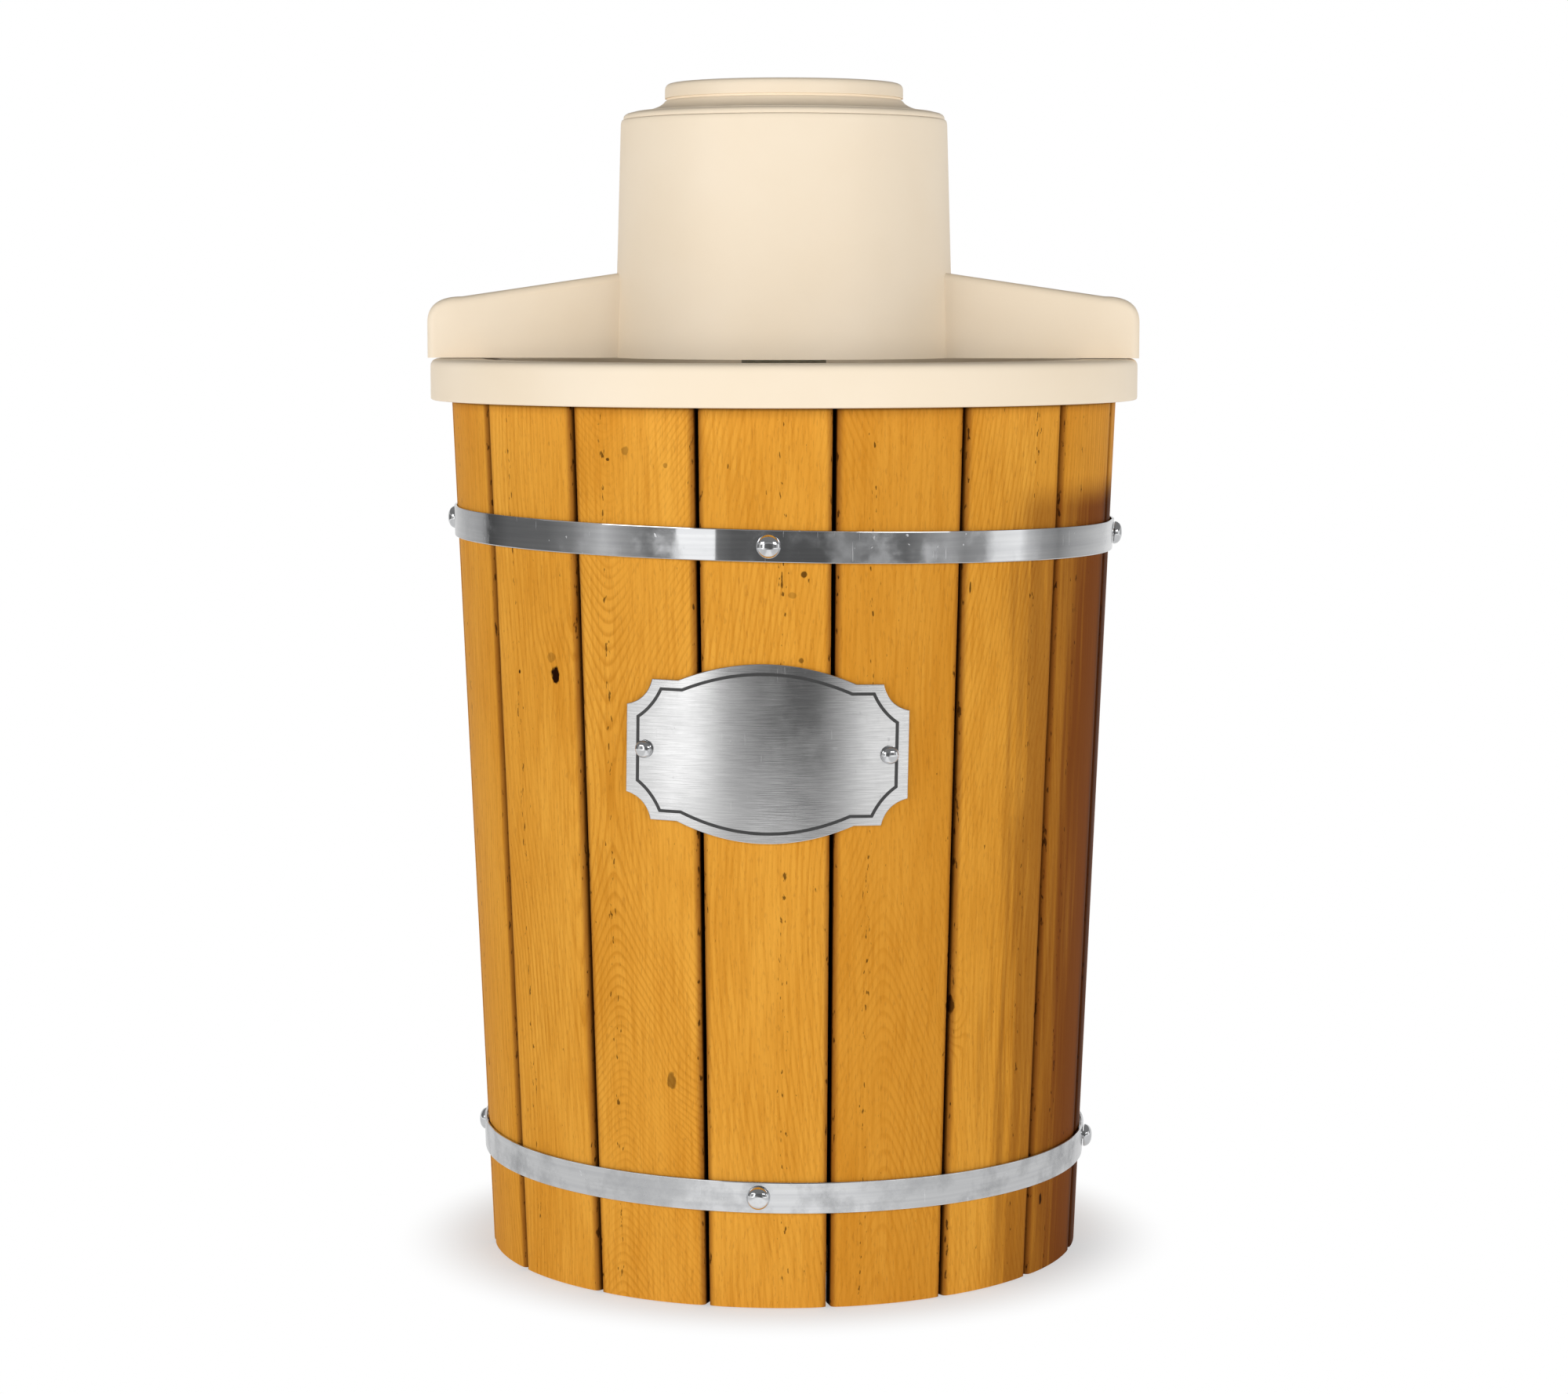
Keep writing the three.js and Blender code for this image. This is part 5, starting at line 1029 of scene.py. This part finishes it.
class FREEZER_OT_rivets(bpy.types.Operator):
    """Sets the domed rivets of the hoops and of the plate"""
    bl_idname = "freezer.rivets"
    bl_label = "Rivets"

    def execute(self, context):
        # Chromed steel: a mirror with a fine even grain of 2.5 mm
        even = (400.0, 400.0, 400.0)
        finish = worked_steel("Chromed rivet steel", "#E2E3E4", "#D2D3D5", even, 0.04, 0.1, 0.05)
        out = HOOP_STANDOFF + HOOP_THICKNESS + FIT
        for level, place in (("upper", UPPER_HOOP), ("lower", LOWER_HOOP)):
            own = hoop_frame(*place)
            places = [own @ wall_place(FRONT + i * math.pi / 2, place[0], out) for i in range(4)]
            nodes = [f"{level}_hoop_rivet_{i}" for i in (1, 2, 3, 4)]
            rivets = self.set_rivets(f"{level}_hoop_rivets", places, *HOOP_RIVET, finish)
            stand_for(rivets, "bucket", "rivet_chrome", finish, *nodes)
        angle = math.asin(LABEL_RIVET_REACH / wall_radius(LABEL_HEIGHT))
        drop = LABEL_RIVET_REACH * math.sin(LABEL_TURN)
        out = HOOP_STANDOFF + LABEL_THICKNESS + FIT
        places = [wall_place(FRONT + side * angle, LABEL_HEIGHT + side * drop, out) for side in (-1, 1)]
        rivets = self.set_rivets("label_rivets", places, *LABEL_RIVET, finish)
        stand_for(rivets, "bucket", "rivet_chrome", finish, "label_rivet_1", "label_rivet_2")
        return {"FINISHED"}

    def set_rivets(self, name, places, radius, height, finish):
        """Sets one turned rivet at each place, with its dome straight out."""
        shank, foot = RIVET_SHANK
        outline = [(0, -foot), (shank, -foot), (shank, 0), (radius - 0.25, 0), (radius, 0.2)]
        outline += curve_points((radius, height * 0.2), (radius * 0.86, height), (0, height), 14)
        shape = lathe("one_rivet", outline, 40)
        spots = bpy.data.meshes.new(name)
        spots.from_pydata([place.translation * MM for place in places], [], [])
        keep(spots, "facing", "FLOAT_VECTOR", [place.to_3x3() @ Vector((0, 0, 1)) for place in places])
        rivets = bpy.data.objects.new(name, spots)
        bpy.context.scene.collection.objects.link(rivets)
        run_tree(rivets, *self.rivet_tree(), {"Rivet": shape, "Size": 1.0, "Finish": finish})
        bpy.data.objects.remove(shape)
        shade(rivets, 50)
        return rivets

    def rivet_tree(self):
        """Sets a rivet on each point, turned the way that the point faces."""
        tree, inputs, given = new_tree("Row of rivets", {
            "Places": "Geometry", "Rivet": "Object", "Size": "Float", "Finish": "Material",
        }, "Rivets")
        facing = node(tree, "GeometryNodeInputNamedAttribute", {"Name": "facing"}, data_type="FLOAT_VECTOR")
        turned = node(tree, "FunctionNodeAlignRotationToVector", {"Vector": facing}, axis="Z")
        shape = node(tree, "GeometryNodeObjectInfo", {"Object": given["Rivet"]}).outputs["Geometry"]
        spots = node(tree, "GeometryNodeMeshToPoints", {"Mesh": given["Places"]})
        row = node(tree, "GeometryNodeInstanceOnPoints", {"Points": spots, "Instance": shape,
                                                          "Rotation": turned, "Scale": given["Size"]})
        real = node(tree, "GeometryNodeRealizeInstances", {"Geometry": row})
        dressed = node(tree, "GeometryNodeSetMaterial", {"Geometry": real, "Material": given["Finish"]})
        node(tree, "NodeGroupOutput", (dressed,))
        return tree, inputs


class FREEZER_OT_label(bpy.types.Operator):
    """Makes the bent steel plate and its border line"""
    bl_idname = "freezer.label"
    bl_label = "Label plate"

    def execute(self, context):
        sizes = context.scene.freezer_sizes
        # Stainless sheet, brushed along its length: fine level lines and a soft sheen
        brushed = (110.0, 110.0, 3000.0)
        steel = worked_steel("Brushed stainless", "#DCDCDC", "#C6C6C6", brushed, 0.15, 0.2, 0.2)
        plate = self.sheet("plate", self.outline(**PLATE))
        stand_for(plate, "bucket", "label_steel", steel, "label_plate", slack=1.5)
        line = self.line(sizes.border_width)
        line.data.materials.append(self.line_fill())
        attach(line, "bucket")
        return {"FINISHED"}

    def line_fill(self):
        """Lacquer in an etched line: near black, with a low sheen and clouds 3 mm wide."""
        made, tree, surface = finish_of("Etched line fill", Roughness=0.55)
        place = node(tree, "ShaderNodeTexCoord").outputs["Object"]
        cloud = node(tree, "ShaderNodeTexNoise", {"Vector": place, "Scale": 300.0, "Detail": 2.0})
        colour = layered(tree, linear("#2C2C2C"), (cloud, linear("#383838")))
        tree.links.new(colour, surface.inputs["Base Color"])
        return made

    def outline(self, wide, notch, low, shoulder, crown, rise, bite, steps=12):
        """A plate's outline with notched corners and crowned ends, from its sizes on one quarter."""
        inside = (notch + bite * (wide - notch), low + bite * (shoulder - low))
        points = [(wide, low * share) for share in np.linspace(-1, 1, 13)[1:-1]]
        points += curve_points((wide, low), inside, (notch, shoulder), steps)
        ledge = [(x, shoulder) for x in np.linspace(notch, crown, 6)[1:-1]]
        points += ledge
        points += curve_points((crown, shoulder), (0, shoulder + 2 * rise), (-crown, shoulder), 3 * steps)
        points += [(-x, y) for x, y in ledge[::-1]]
        points += curve_points((-notch, shoulder), (-inside[0], inside[1]), (-wide, low), steps)
        points += [(-x, -y) for x, y in points]
        return points

    def bend(self, points, standoff):
        """Flat points laid on the wall, as seen straight from the front."""
        laid = []
        for point in points:
            turned = Matrix.Rotation(LABEL_TURN, 2) @ Vector(point)
            height = LABEL_HEIGHT + turned.y
            radius = wall_radius(height) + HOOP_STANDOFF + standoff
            laid.append((turned.x, -math.sqrt(radius ** 2 - turned.x ** 2), height))
        return laid

    def sheet(self, name, outline):
        """A bent sheet with rounded edges, whose two faces are filled with even points."""
        edge, step = 0.25, 2.4
        inner = shifted(outline, edge)
        count = len(inner)
        polygon = np.array(inner)
        grid = [Vector((x, y)) for x in np.arange(-48, 48.1, step) for y in np.arange(-30, 30.1, step)]
        filling = [spot for spot in grid if self.within(spot, polygon)]
        sides = [(i, (i + 1) % count) for i in range(count)]
        flat, _, faces, *_ = delaunay_2d_cdt([Vector(p) for p in inner] + filling, sides, [], 1, 0.0001)
        total = len(flat)
        points = self.bend(flat, LABEL_THICKNESS) + self.bend(flat, 0)
        faces = [tuple(face) for face in faces]
        faces += [tuple(total + i for i in face[::-1]) for face in faces]
        rings = [range(count)]
        for side, level in ((shifted(outline, edge * 0.35), LABEL_THICKNESS - edge * 0.35),
                            (outline, LABEL_THICKNESS - edge), (outline, edge)):
            rings.append(range(len(points), len(points) + count))
            points += self.bend(side, level)
        rings.append(range(total, total + count))
        return lay_mesh(name, points, faces + bands(rings), 20)

    def within(self, spot, polygon):
        """Whether a point lies well inside a closed outline."""
        ahead = np.roll(polygon, -1, axis=0)
        x, y = spot
        crossing = (polygon[:, 1] > y) != (ahead[:, 1] > y)
        run = (ahead[:, 0] - polygon[:, 0]) * (y - polygon[:, 1]) / (ahead[:, 1] - polygon[:, 1] + 1e-12)
        inside = np.count_nonzero(crossing & (x < polygon[:, 0] + run)) % 2 == 1
        gap = np.hypot(polygon[:, 0] - x, polygon[:, 1] - y).min()
        return inside and gap > 0.8

    def line(self, width):
        """The border line, a flat band that stands a little proud of the plate."""
        middle = self.outline(**BORDER)
        outer, inner = shifted(middle, -width / 2), shifted(middle, width / 2)
        low, high = LABEL_THICKNESS - 0.05, LABEL_THICKNESS + 0.08
        sides = ((outer, low), (outer, high), (inner, high), (inner, low))
        return loft("plate_border_line", [self.bend(side, level) for side, level in sides], "joined")


class FREEZER_OT_liner(bpy.types.Operator):
    """Makes the plastic liner with its rim, and the drain bush"""
    bl_idname = "freezer.liner"
    bl_label = "Liner"

    def execute(self, context):
        cream = cream_plastic(context)
        liner = self.tub(context.scene.freezer_sizes.facets)
        cut_drain(liner, reach=40)
        stand_for(liner, "bucket", "cream_plastic", cream, "liner")

        bore, neck, flange = 5, 6.8, 10
        tail, seat, face = -14.4, FIT, 2.3
        corners = [(bore, tail, 0.4), (neck, tail, 0.4), (neck, seat, 0.2), (flange, seat, 0.2),
                   (flange, face, 0.9), (bore, face, 0.6)]
        bush = lathe("drain_collar", rounded(corners, 4), 64, drain_place())
        stand_for(bush, "bucket", "cream_plastic", cream, "drain_bush")
        return {"FINISHED"}

    def outer(self, height):
        """The tub's outer radius, a little inside the staves."""
        return wall_radius(height) - STAVE_THICKNESS - LINER_GAP

    def tub(self, facets):
        """The tub with its rim and pivot, and the two slots that the head's tabs drop into."""
        low, floor, under = LINER_FLOOR - LINER_WALL, LINER_FLOOR, RIM_TOP - RIM_WALL
        lip, foot = self.outer(RIM_TOP) - LINER_WALL, self.outer(floor) - LINER_WALL
        inside = RIM_RADIUS - RIM_WALL
        pivot, pivot_top = 9, 37.5
        corners = [
            (0, low, 0), (self.outer(low), low, 6), (self.outer(under), under, 1), (inside, under, 1),
            (inside, RIM_BOTTOM, 0.5), (RIM_RADIUS, RIM_BOTTOM, 0.9), (RIM_RADIUS, RIM_TOP, 3.0),
            (lip, RIM_TOP, 1.6), (foot, floor, 6), (pivot, floor, 1.5), (pivot, pivot_top, 3.0),
            (0, pivot_top, 0),
        ]
        tub = lathe("liner_tub", rounded(corners, 7), facets)
        middle = (wall_radius(RIM_TOP) + inside) / 2
        for side in (-1, 1):
            across = sorted((side * (middle - SLOT_HALF[0]), side * (middle + SLOT_HALF[0])))
            carve(tub, block("slot", across, (-SLOT_HALF[1], SLOT_HALF[1]), (under - 1, RIM_TOP + 1)))
        return tub


class FREEZER_OT_canister(bpy.types.Operator):
    """Makes the steel canister and its clear lid"""
    bl_idname = "freezer.canister"
    bl_label = "Canister"

    def execute(self, context):
        can = lathe("canister_shell", rounded(self.can_corners(), 5), 128)
        # Drawn steel, brushed round: lines 0.6 mm apart and a soft sheen
        steel = worked_steel("Satin canister steel", "#CBCCCD", "#A9AAAC", (60.0, 60.0, 1600.0), 0.24)
        stand_for(can, "canister", "can_steel", steel, "canister")

        lid = lathe("canister_cap", rounded(self.lid_corners(), 4), 128)
        for i in range(4):
            carve(lid, self.claw(i * math.pi / 2), "UNION")
        # Moulded clear and smooth: a bright gloss, with the steel and the claws showing through
        clear = moulded_plastic("Clear polycarbonate", linear("#E9EEF0"), linear("#DDE4E7"), 0.08, 2.5,
                                Transmission_Weight=0.85, IOR=1.58)
        stand_for(lid, "lid", "lid_plastic", clear, "canister_lid")
        return {"FINISHED"}

    def can_corners(self):
        """The can's outline, with a rolled bead at its mouth and a pressed socket in its bottom."""
        base, top, radius = CAN_FLOOR, CAN_TOP, CAN_RADIUS
        wall, bead = 1, 1.6
        crown, mouth, deep = 9.4, 10.9, 8
        return [
            (0, base + deep, 0), (crown, base + deep, 1.5), (mouth, base, 1), (radius, base, 7),
            (radius, top - 2 * bead, 0.8), (radius + bead, top - bead, 1.4), (radius, top, 0.4),
            (radius - wall, top, 0.4), (radius - wall, base + wall, 6), (mouth + wall, base + wall, 1),
            (crown + wall, base + deep + wall, 1.5), (0, base + deep + wall, 0),
        ]

    def lid_corners(self):
        """The lid's outline, with a skirt inside the can's mouth and a raised collar round its bore."""
        under, top = CAN_TOP + FIT, CAN_TOP + 2.8
        skirt, skirt_wall, skirt_depth = 78.6, 2.4, 9
        bore, foot, edge = 7.3, 21, 82.6
        return [
            (bore, under, 0.3), (skirt - skirt_wall, under, 0.8),
            (skirt - skirt_wall, under - skirt_depth, 0.8), (skirt, under - skirt_depth, 0.8),
            (skirt, under, 0.3), (edge, under, 0.6), (edge, top, 1.1), (foot, top, 2),
            (CLAW_OUTER, COLLAR_TOP, 1), (bore, COLLAR_TOP, 0.5),
        ]

    def claw(self, turn, steps=8):
        """One claw of the coupling, a block on the collar between two radii."""
        half = math.radians(22.5) - math.radians(1)
        arc = []
        for radius, start, end in ((CLAW_OUTER, -half, half), (CLAW_INNER, half, -half)):
            for i in range(steps + 1):
                angle = turn + start + (end - start) * i / steps
                arc.append((radius * math.cos(angle), radius * math.sin(angle)))
        rings = [[(x, y, height) for x, y in arc] for height in (COLLAR_TOP - 1, CLAW_TOP)]
        return loft("claw", rings, "capped")


class FREEZER_OT_head(bpy.types.Operator):
    """Makes the head's housing with its two arms"""
    bl_idname = "freezer.head"
    bl_label = "Motor head"

    def execute(self, context):
        facets = context.scene.freezer_sizes.facets
        housing = self.form("head_shell", 0, facets)
        carve(housing, self.form("hollow", HEAD_WALL, facets))
        carve(housing, block("below", (-200, 200), (-200, 200), (200, HEAD_BOTTOM)))
        for i in range(4):
            carve(housing, self.boss((i + 0.5) * math.pi / 2), "UNION")
        carve(housing, rod("gland_hole", GLAND_BORE, 40, 80, gland_place(0)))
        stand_for(housing, "motor_head", "cream_plastic", cream_plastic(context), "head_housing")
        return {"FINISHED"}

    def boss(self, angle):
        """One of the tubes inside the foot that the base plate's screws go into."""
        ring, bore, radius, low, high = SCREW_BOSS
        spot = Matrix.Translation((ring * math.cos(angle), ring * math.sin(angle), 0))
        return lathe("boss", [(bore, low), (radius, low), (radius, high), (bore, high)], 32, spot)

    def form(self, name, inset, facets):
        """The head's form, drawn in by an inset: a drafted drum joined with two arms."""
        low = HEAD_BOTTOM - FOOT_ALLOWANCE
        top = HEAD_TOP + (1 if inset else 0)
        edge = HEAD_TOP - 2.5
        outline = [(0, low), (head_radius(low) - inset, low)]
        if inset:
            outline += [(head_radius(top) - inset, top)]
        else:
            outline += curve_points((head_radius(edge), edge), (HEAD_TOP_RADIUS, HEAD_TOP),
                                    (HEAD_TOP_RADIUS - 0.7, HEAD_TOP), 5)
        drum = lathe(name, outline + [(0, top)], facets)
        for side in (1, -1):
            carve(drum, self.arm(side, inset), "UNION")
        return drum

    def arm(self, side, inset):
        """One arm, drawn in side view and given its width with rounded long edges."""
        end = RIM_RADIUS - inset
        root = HEAD_BASE_RADIUS / 2
        foot = HEAD_BOTTOM - FOOT_ALLOWANCE
        root_top = HEAD_BOTTOM + ARM_ROOT_HEIGHT - inset
        end_top = HEAD_BOTTOM + ARM_END_HEIGHT - inset
        slope = (root_top - end_top) / (RIM_RADIUS - ARM_CORNER_LENGTH - HEAD_BASE_RADIUS)
        outline = [(root, foot), (end, foot)]
        outline += curve_points((end, end_top - ARM_CORNER_DROP), (end, end_top),
                                (end - ARM_CORNER_LENGTH, end_top), 14)
        outline += [(x, root_top + (HEAD_BASE_RADIUS - x) * slope) for x in (110, 95, 80, 66, root)]
        half, end_half = ARM_ROOT_HALF - inset, ARM_END_HALF - inset
        rows = [(-half, 0), (half, 0)]
        if not inset:
            turns = [math.radians(angle) for angle in range(0, 91, 15)]
            rows = [(half - ARM_ROUNDING * (1 - math.sin(turn)), ARM_ROUNDING * (1 - math.cos(turn)))
                    for turn in turns]
            rows = [(-y, draw) for y, draw in rows[::-1]] + rows
        rings = []
        for y, draw in rows:
            ring = []
            for x, z in shifted(outline, draw):
                along = max(0, (x - HEAD_BASE_RADIUS) / (RIM_RADIUS - HEAD_BASE_RADIUS))
                ring.append((side * x, side * y * (1 + along * (end_half / half - 1)), z))
            rings.append(ring)
        return loft("arm", rings, "capped")


class FREEZER_OT_cover(bpy.types.Operator):
    """Makes the head's top cover with its raised cap, and the cable gland"""
    bl_idname = "freezer.cover"
    bl_label = "Top cover"

    def execute(self, context):
        cover = lathe("cover_cap", self.outline(), context.scene.freezer_sizes.facets)
        stand_for(cover, "motor_head", "cream_plastic", cream_plastic(context), "top_cover")

        # Moulded nylon, filled black: dark and even, with a satin sheen
        black = moulded_plastic("Black nylon", linear("#2A2B2D"), linear("#202123"), 0.5)
        bore, neck, flange = 2.9, 4.3, 6.4
        tail, face = -7, 1.6
        corners = [(bore, tail, 0.3), (neck, tail, 0.3), (neck, 0, 0.2), (flange, 0, 0.2),
                   (flange, face, 0.6), (bore, face, 0.5)]
        gland = lathe("gland_ring", rounded(corners, 4), 48, gland_place(head_radius(GLAND_HEIGHT) + FIT))
        stand_for(gland, "motor_head", "black_plastic", black, "cable_gland")
        return {"FINISHED"}

    def outline(self):
        """The cover's outline: its hollow side, its rim, the cove under the cap, and the cap."""
        seat, shoulder, flare, neck, top = 422.1, 424.4, 429.0, 430.0, 435.5
        wall, hollow, well, plug, rim, cap = 2.2, 40.8, 55.6, 57.8, 59.8, 44.3
        outline = [(0, top - wall), (hollow, top - wall), (hollow, flare - wall), (well, shoulder - wall),
                   (well, seat - 5), (plug, seat - 5), (plug, seat), (rim, seat)]
        outline += curve_points((rim, seat + 0.3), (rim, shoulder), (rim - 3, shoulder + 0.2), 6)
        # A fine groove round the shoulder, the cove up to the cap, and the undercut below it
        outline += [(56.5, shoulder), (56.2, shoulder + 0.3)]
        outline += curve_points((56, shoulder + 0.5), (46.6, shoulder + 1.2), (44.2, flare), 12)
        outline += [(43.7, flare + 0.2), (43.6, flare + 0.5), (43.7, neck - 0.1), (43.9, neck)]
        outline += rounded([(cap, neck, 0), (cap, top, 4.8), (0, top + 0.4, 0)], 8)[:-1]
        return outline + [(20, top + 0.25), (0, top + 0.4)]


class FREEZER_OT_works(bpy.types.Operator):
    """Gives the carried-over solids their real finishes"""
    bl_idname = "freezer.works"
    bl_label = "Works"

    def execute(self, context):
        # Pale planed woods, milky moulded plastics, and plated or turned metals with a dull shine
        beech = planed_board("Planed beech", "#DDBF95", "#C29C6E")
        poplar = planed_board("Planed poplar", "#D8BE92", "#B8976A")
        white = moulded_plastic("White polypropylene", linear("#EFEDE6"), linear("#E4E1D8"), 0.45, 0.8)
        nylon = moulded_plastic("Gear nylon", linear("#E3DECB"), linear("#D6D0BA"), 0.4, 0.8)
        zinc = worked_steel("Zinc plated steel", "#B4B7BA", "#8F9296", (500.0, 500.0, 500.0), 0.3)
        brass = worked_steel("Machined brass", "#D9B45A", "#B48E3C", (300.0, 300.0, 2000.0), 0.22)
        finishes = (
            (poplar, ("bottom_board",)),
            (beech, ("scraper_left", "scraper_right")),
            (white, ("dasher_frame", "gearbox_plate", "locating_tab_left", "locating_tab_right")),
            (cream_plastic(context), ("base_plate",)),
            (nylon, ("first_gear", "second_gear", "drive_gear")),
            (brass, ("motor_pinion",)),
            (bpy.data.materials["Black nylon"], ("cooling_fan",)),
            (zinc, ("motor_plate", "motor_can", "motor_rotor", "first_gear_pin", "second_gear_pin",
                    "motor_screw_1", "motor_screw_2", "base_screw_1", "base_screw_2", "base_screw_3",
                    "base_screw_4")),
        )
        for finish, names in finishes:
            for name in names:
                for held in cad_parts[name].material_slots:
                    held.material = finish
        return {"FINISHED"}


class FREEZER_PT_panel(bpy.types.Panel):
    """Lists the freezer's sizes, colours and pieces"""
    bl_idname = "FREEZER_PT_panel"
    bl_label = "Bucket freezer"
    bl_space_type = "VIEW_3D"
    bl_region_type = "UI"
    bl_category = "Freezer"

    def draw(self, context):
        for name in GROUPS:
            group = getattr(context.scene, name)
            box = self.layout.box()
            for setting in group.__annotations__:
                box.prop(group, setting)
        for piece in PIECES:
            self.layout.operator(piece.bl_idname)


PIECES = (
    FREEZER_OT_stage,
    FREEZER_OT_staves,
    FREEZER_OT_hoops,
    FREEZER_OT_rivets,
    FREEZER_OT_label,
    FREEZER_OT_liner,
    FREEZER_OT_canister,
    FREEZER_OT_head,
    FREEZER_OT_cover,
    FREEZER_OT_works,
)
GROUPS = {"freezer_sizes": FreezerSizes, "freezer_colours": FreezerColours, "freezer_stage": FreezerStage}


def register():
    for made in (*GROUPS.values(), *PIECES, FREEZER_PT_panel):
        bpy.utils.register_class(made)
    for name, group in GROUPS.items():
        setattr(bpy.types.Scene, name, PointerProperty(type=group))


def unregister():
    for name in GROUPS:
        delattr(bpy.types.Scene, name)
    for made in (FREEZER_PT_panel, *reversed(PIECES), *GROUPS.values()):
        bpy.utils.unregister_class(made)


def main():
    """Makes every piece in order."""
    register()
    for piece in PIECES:
        step = piece.bl_idname.split(".")[1]
        getattr(bpy.ops.freezer, step)()


if __name__ == "__main__":
    main()
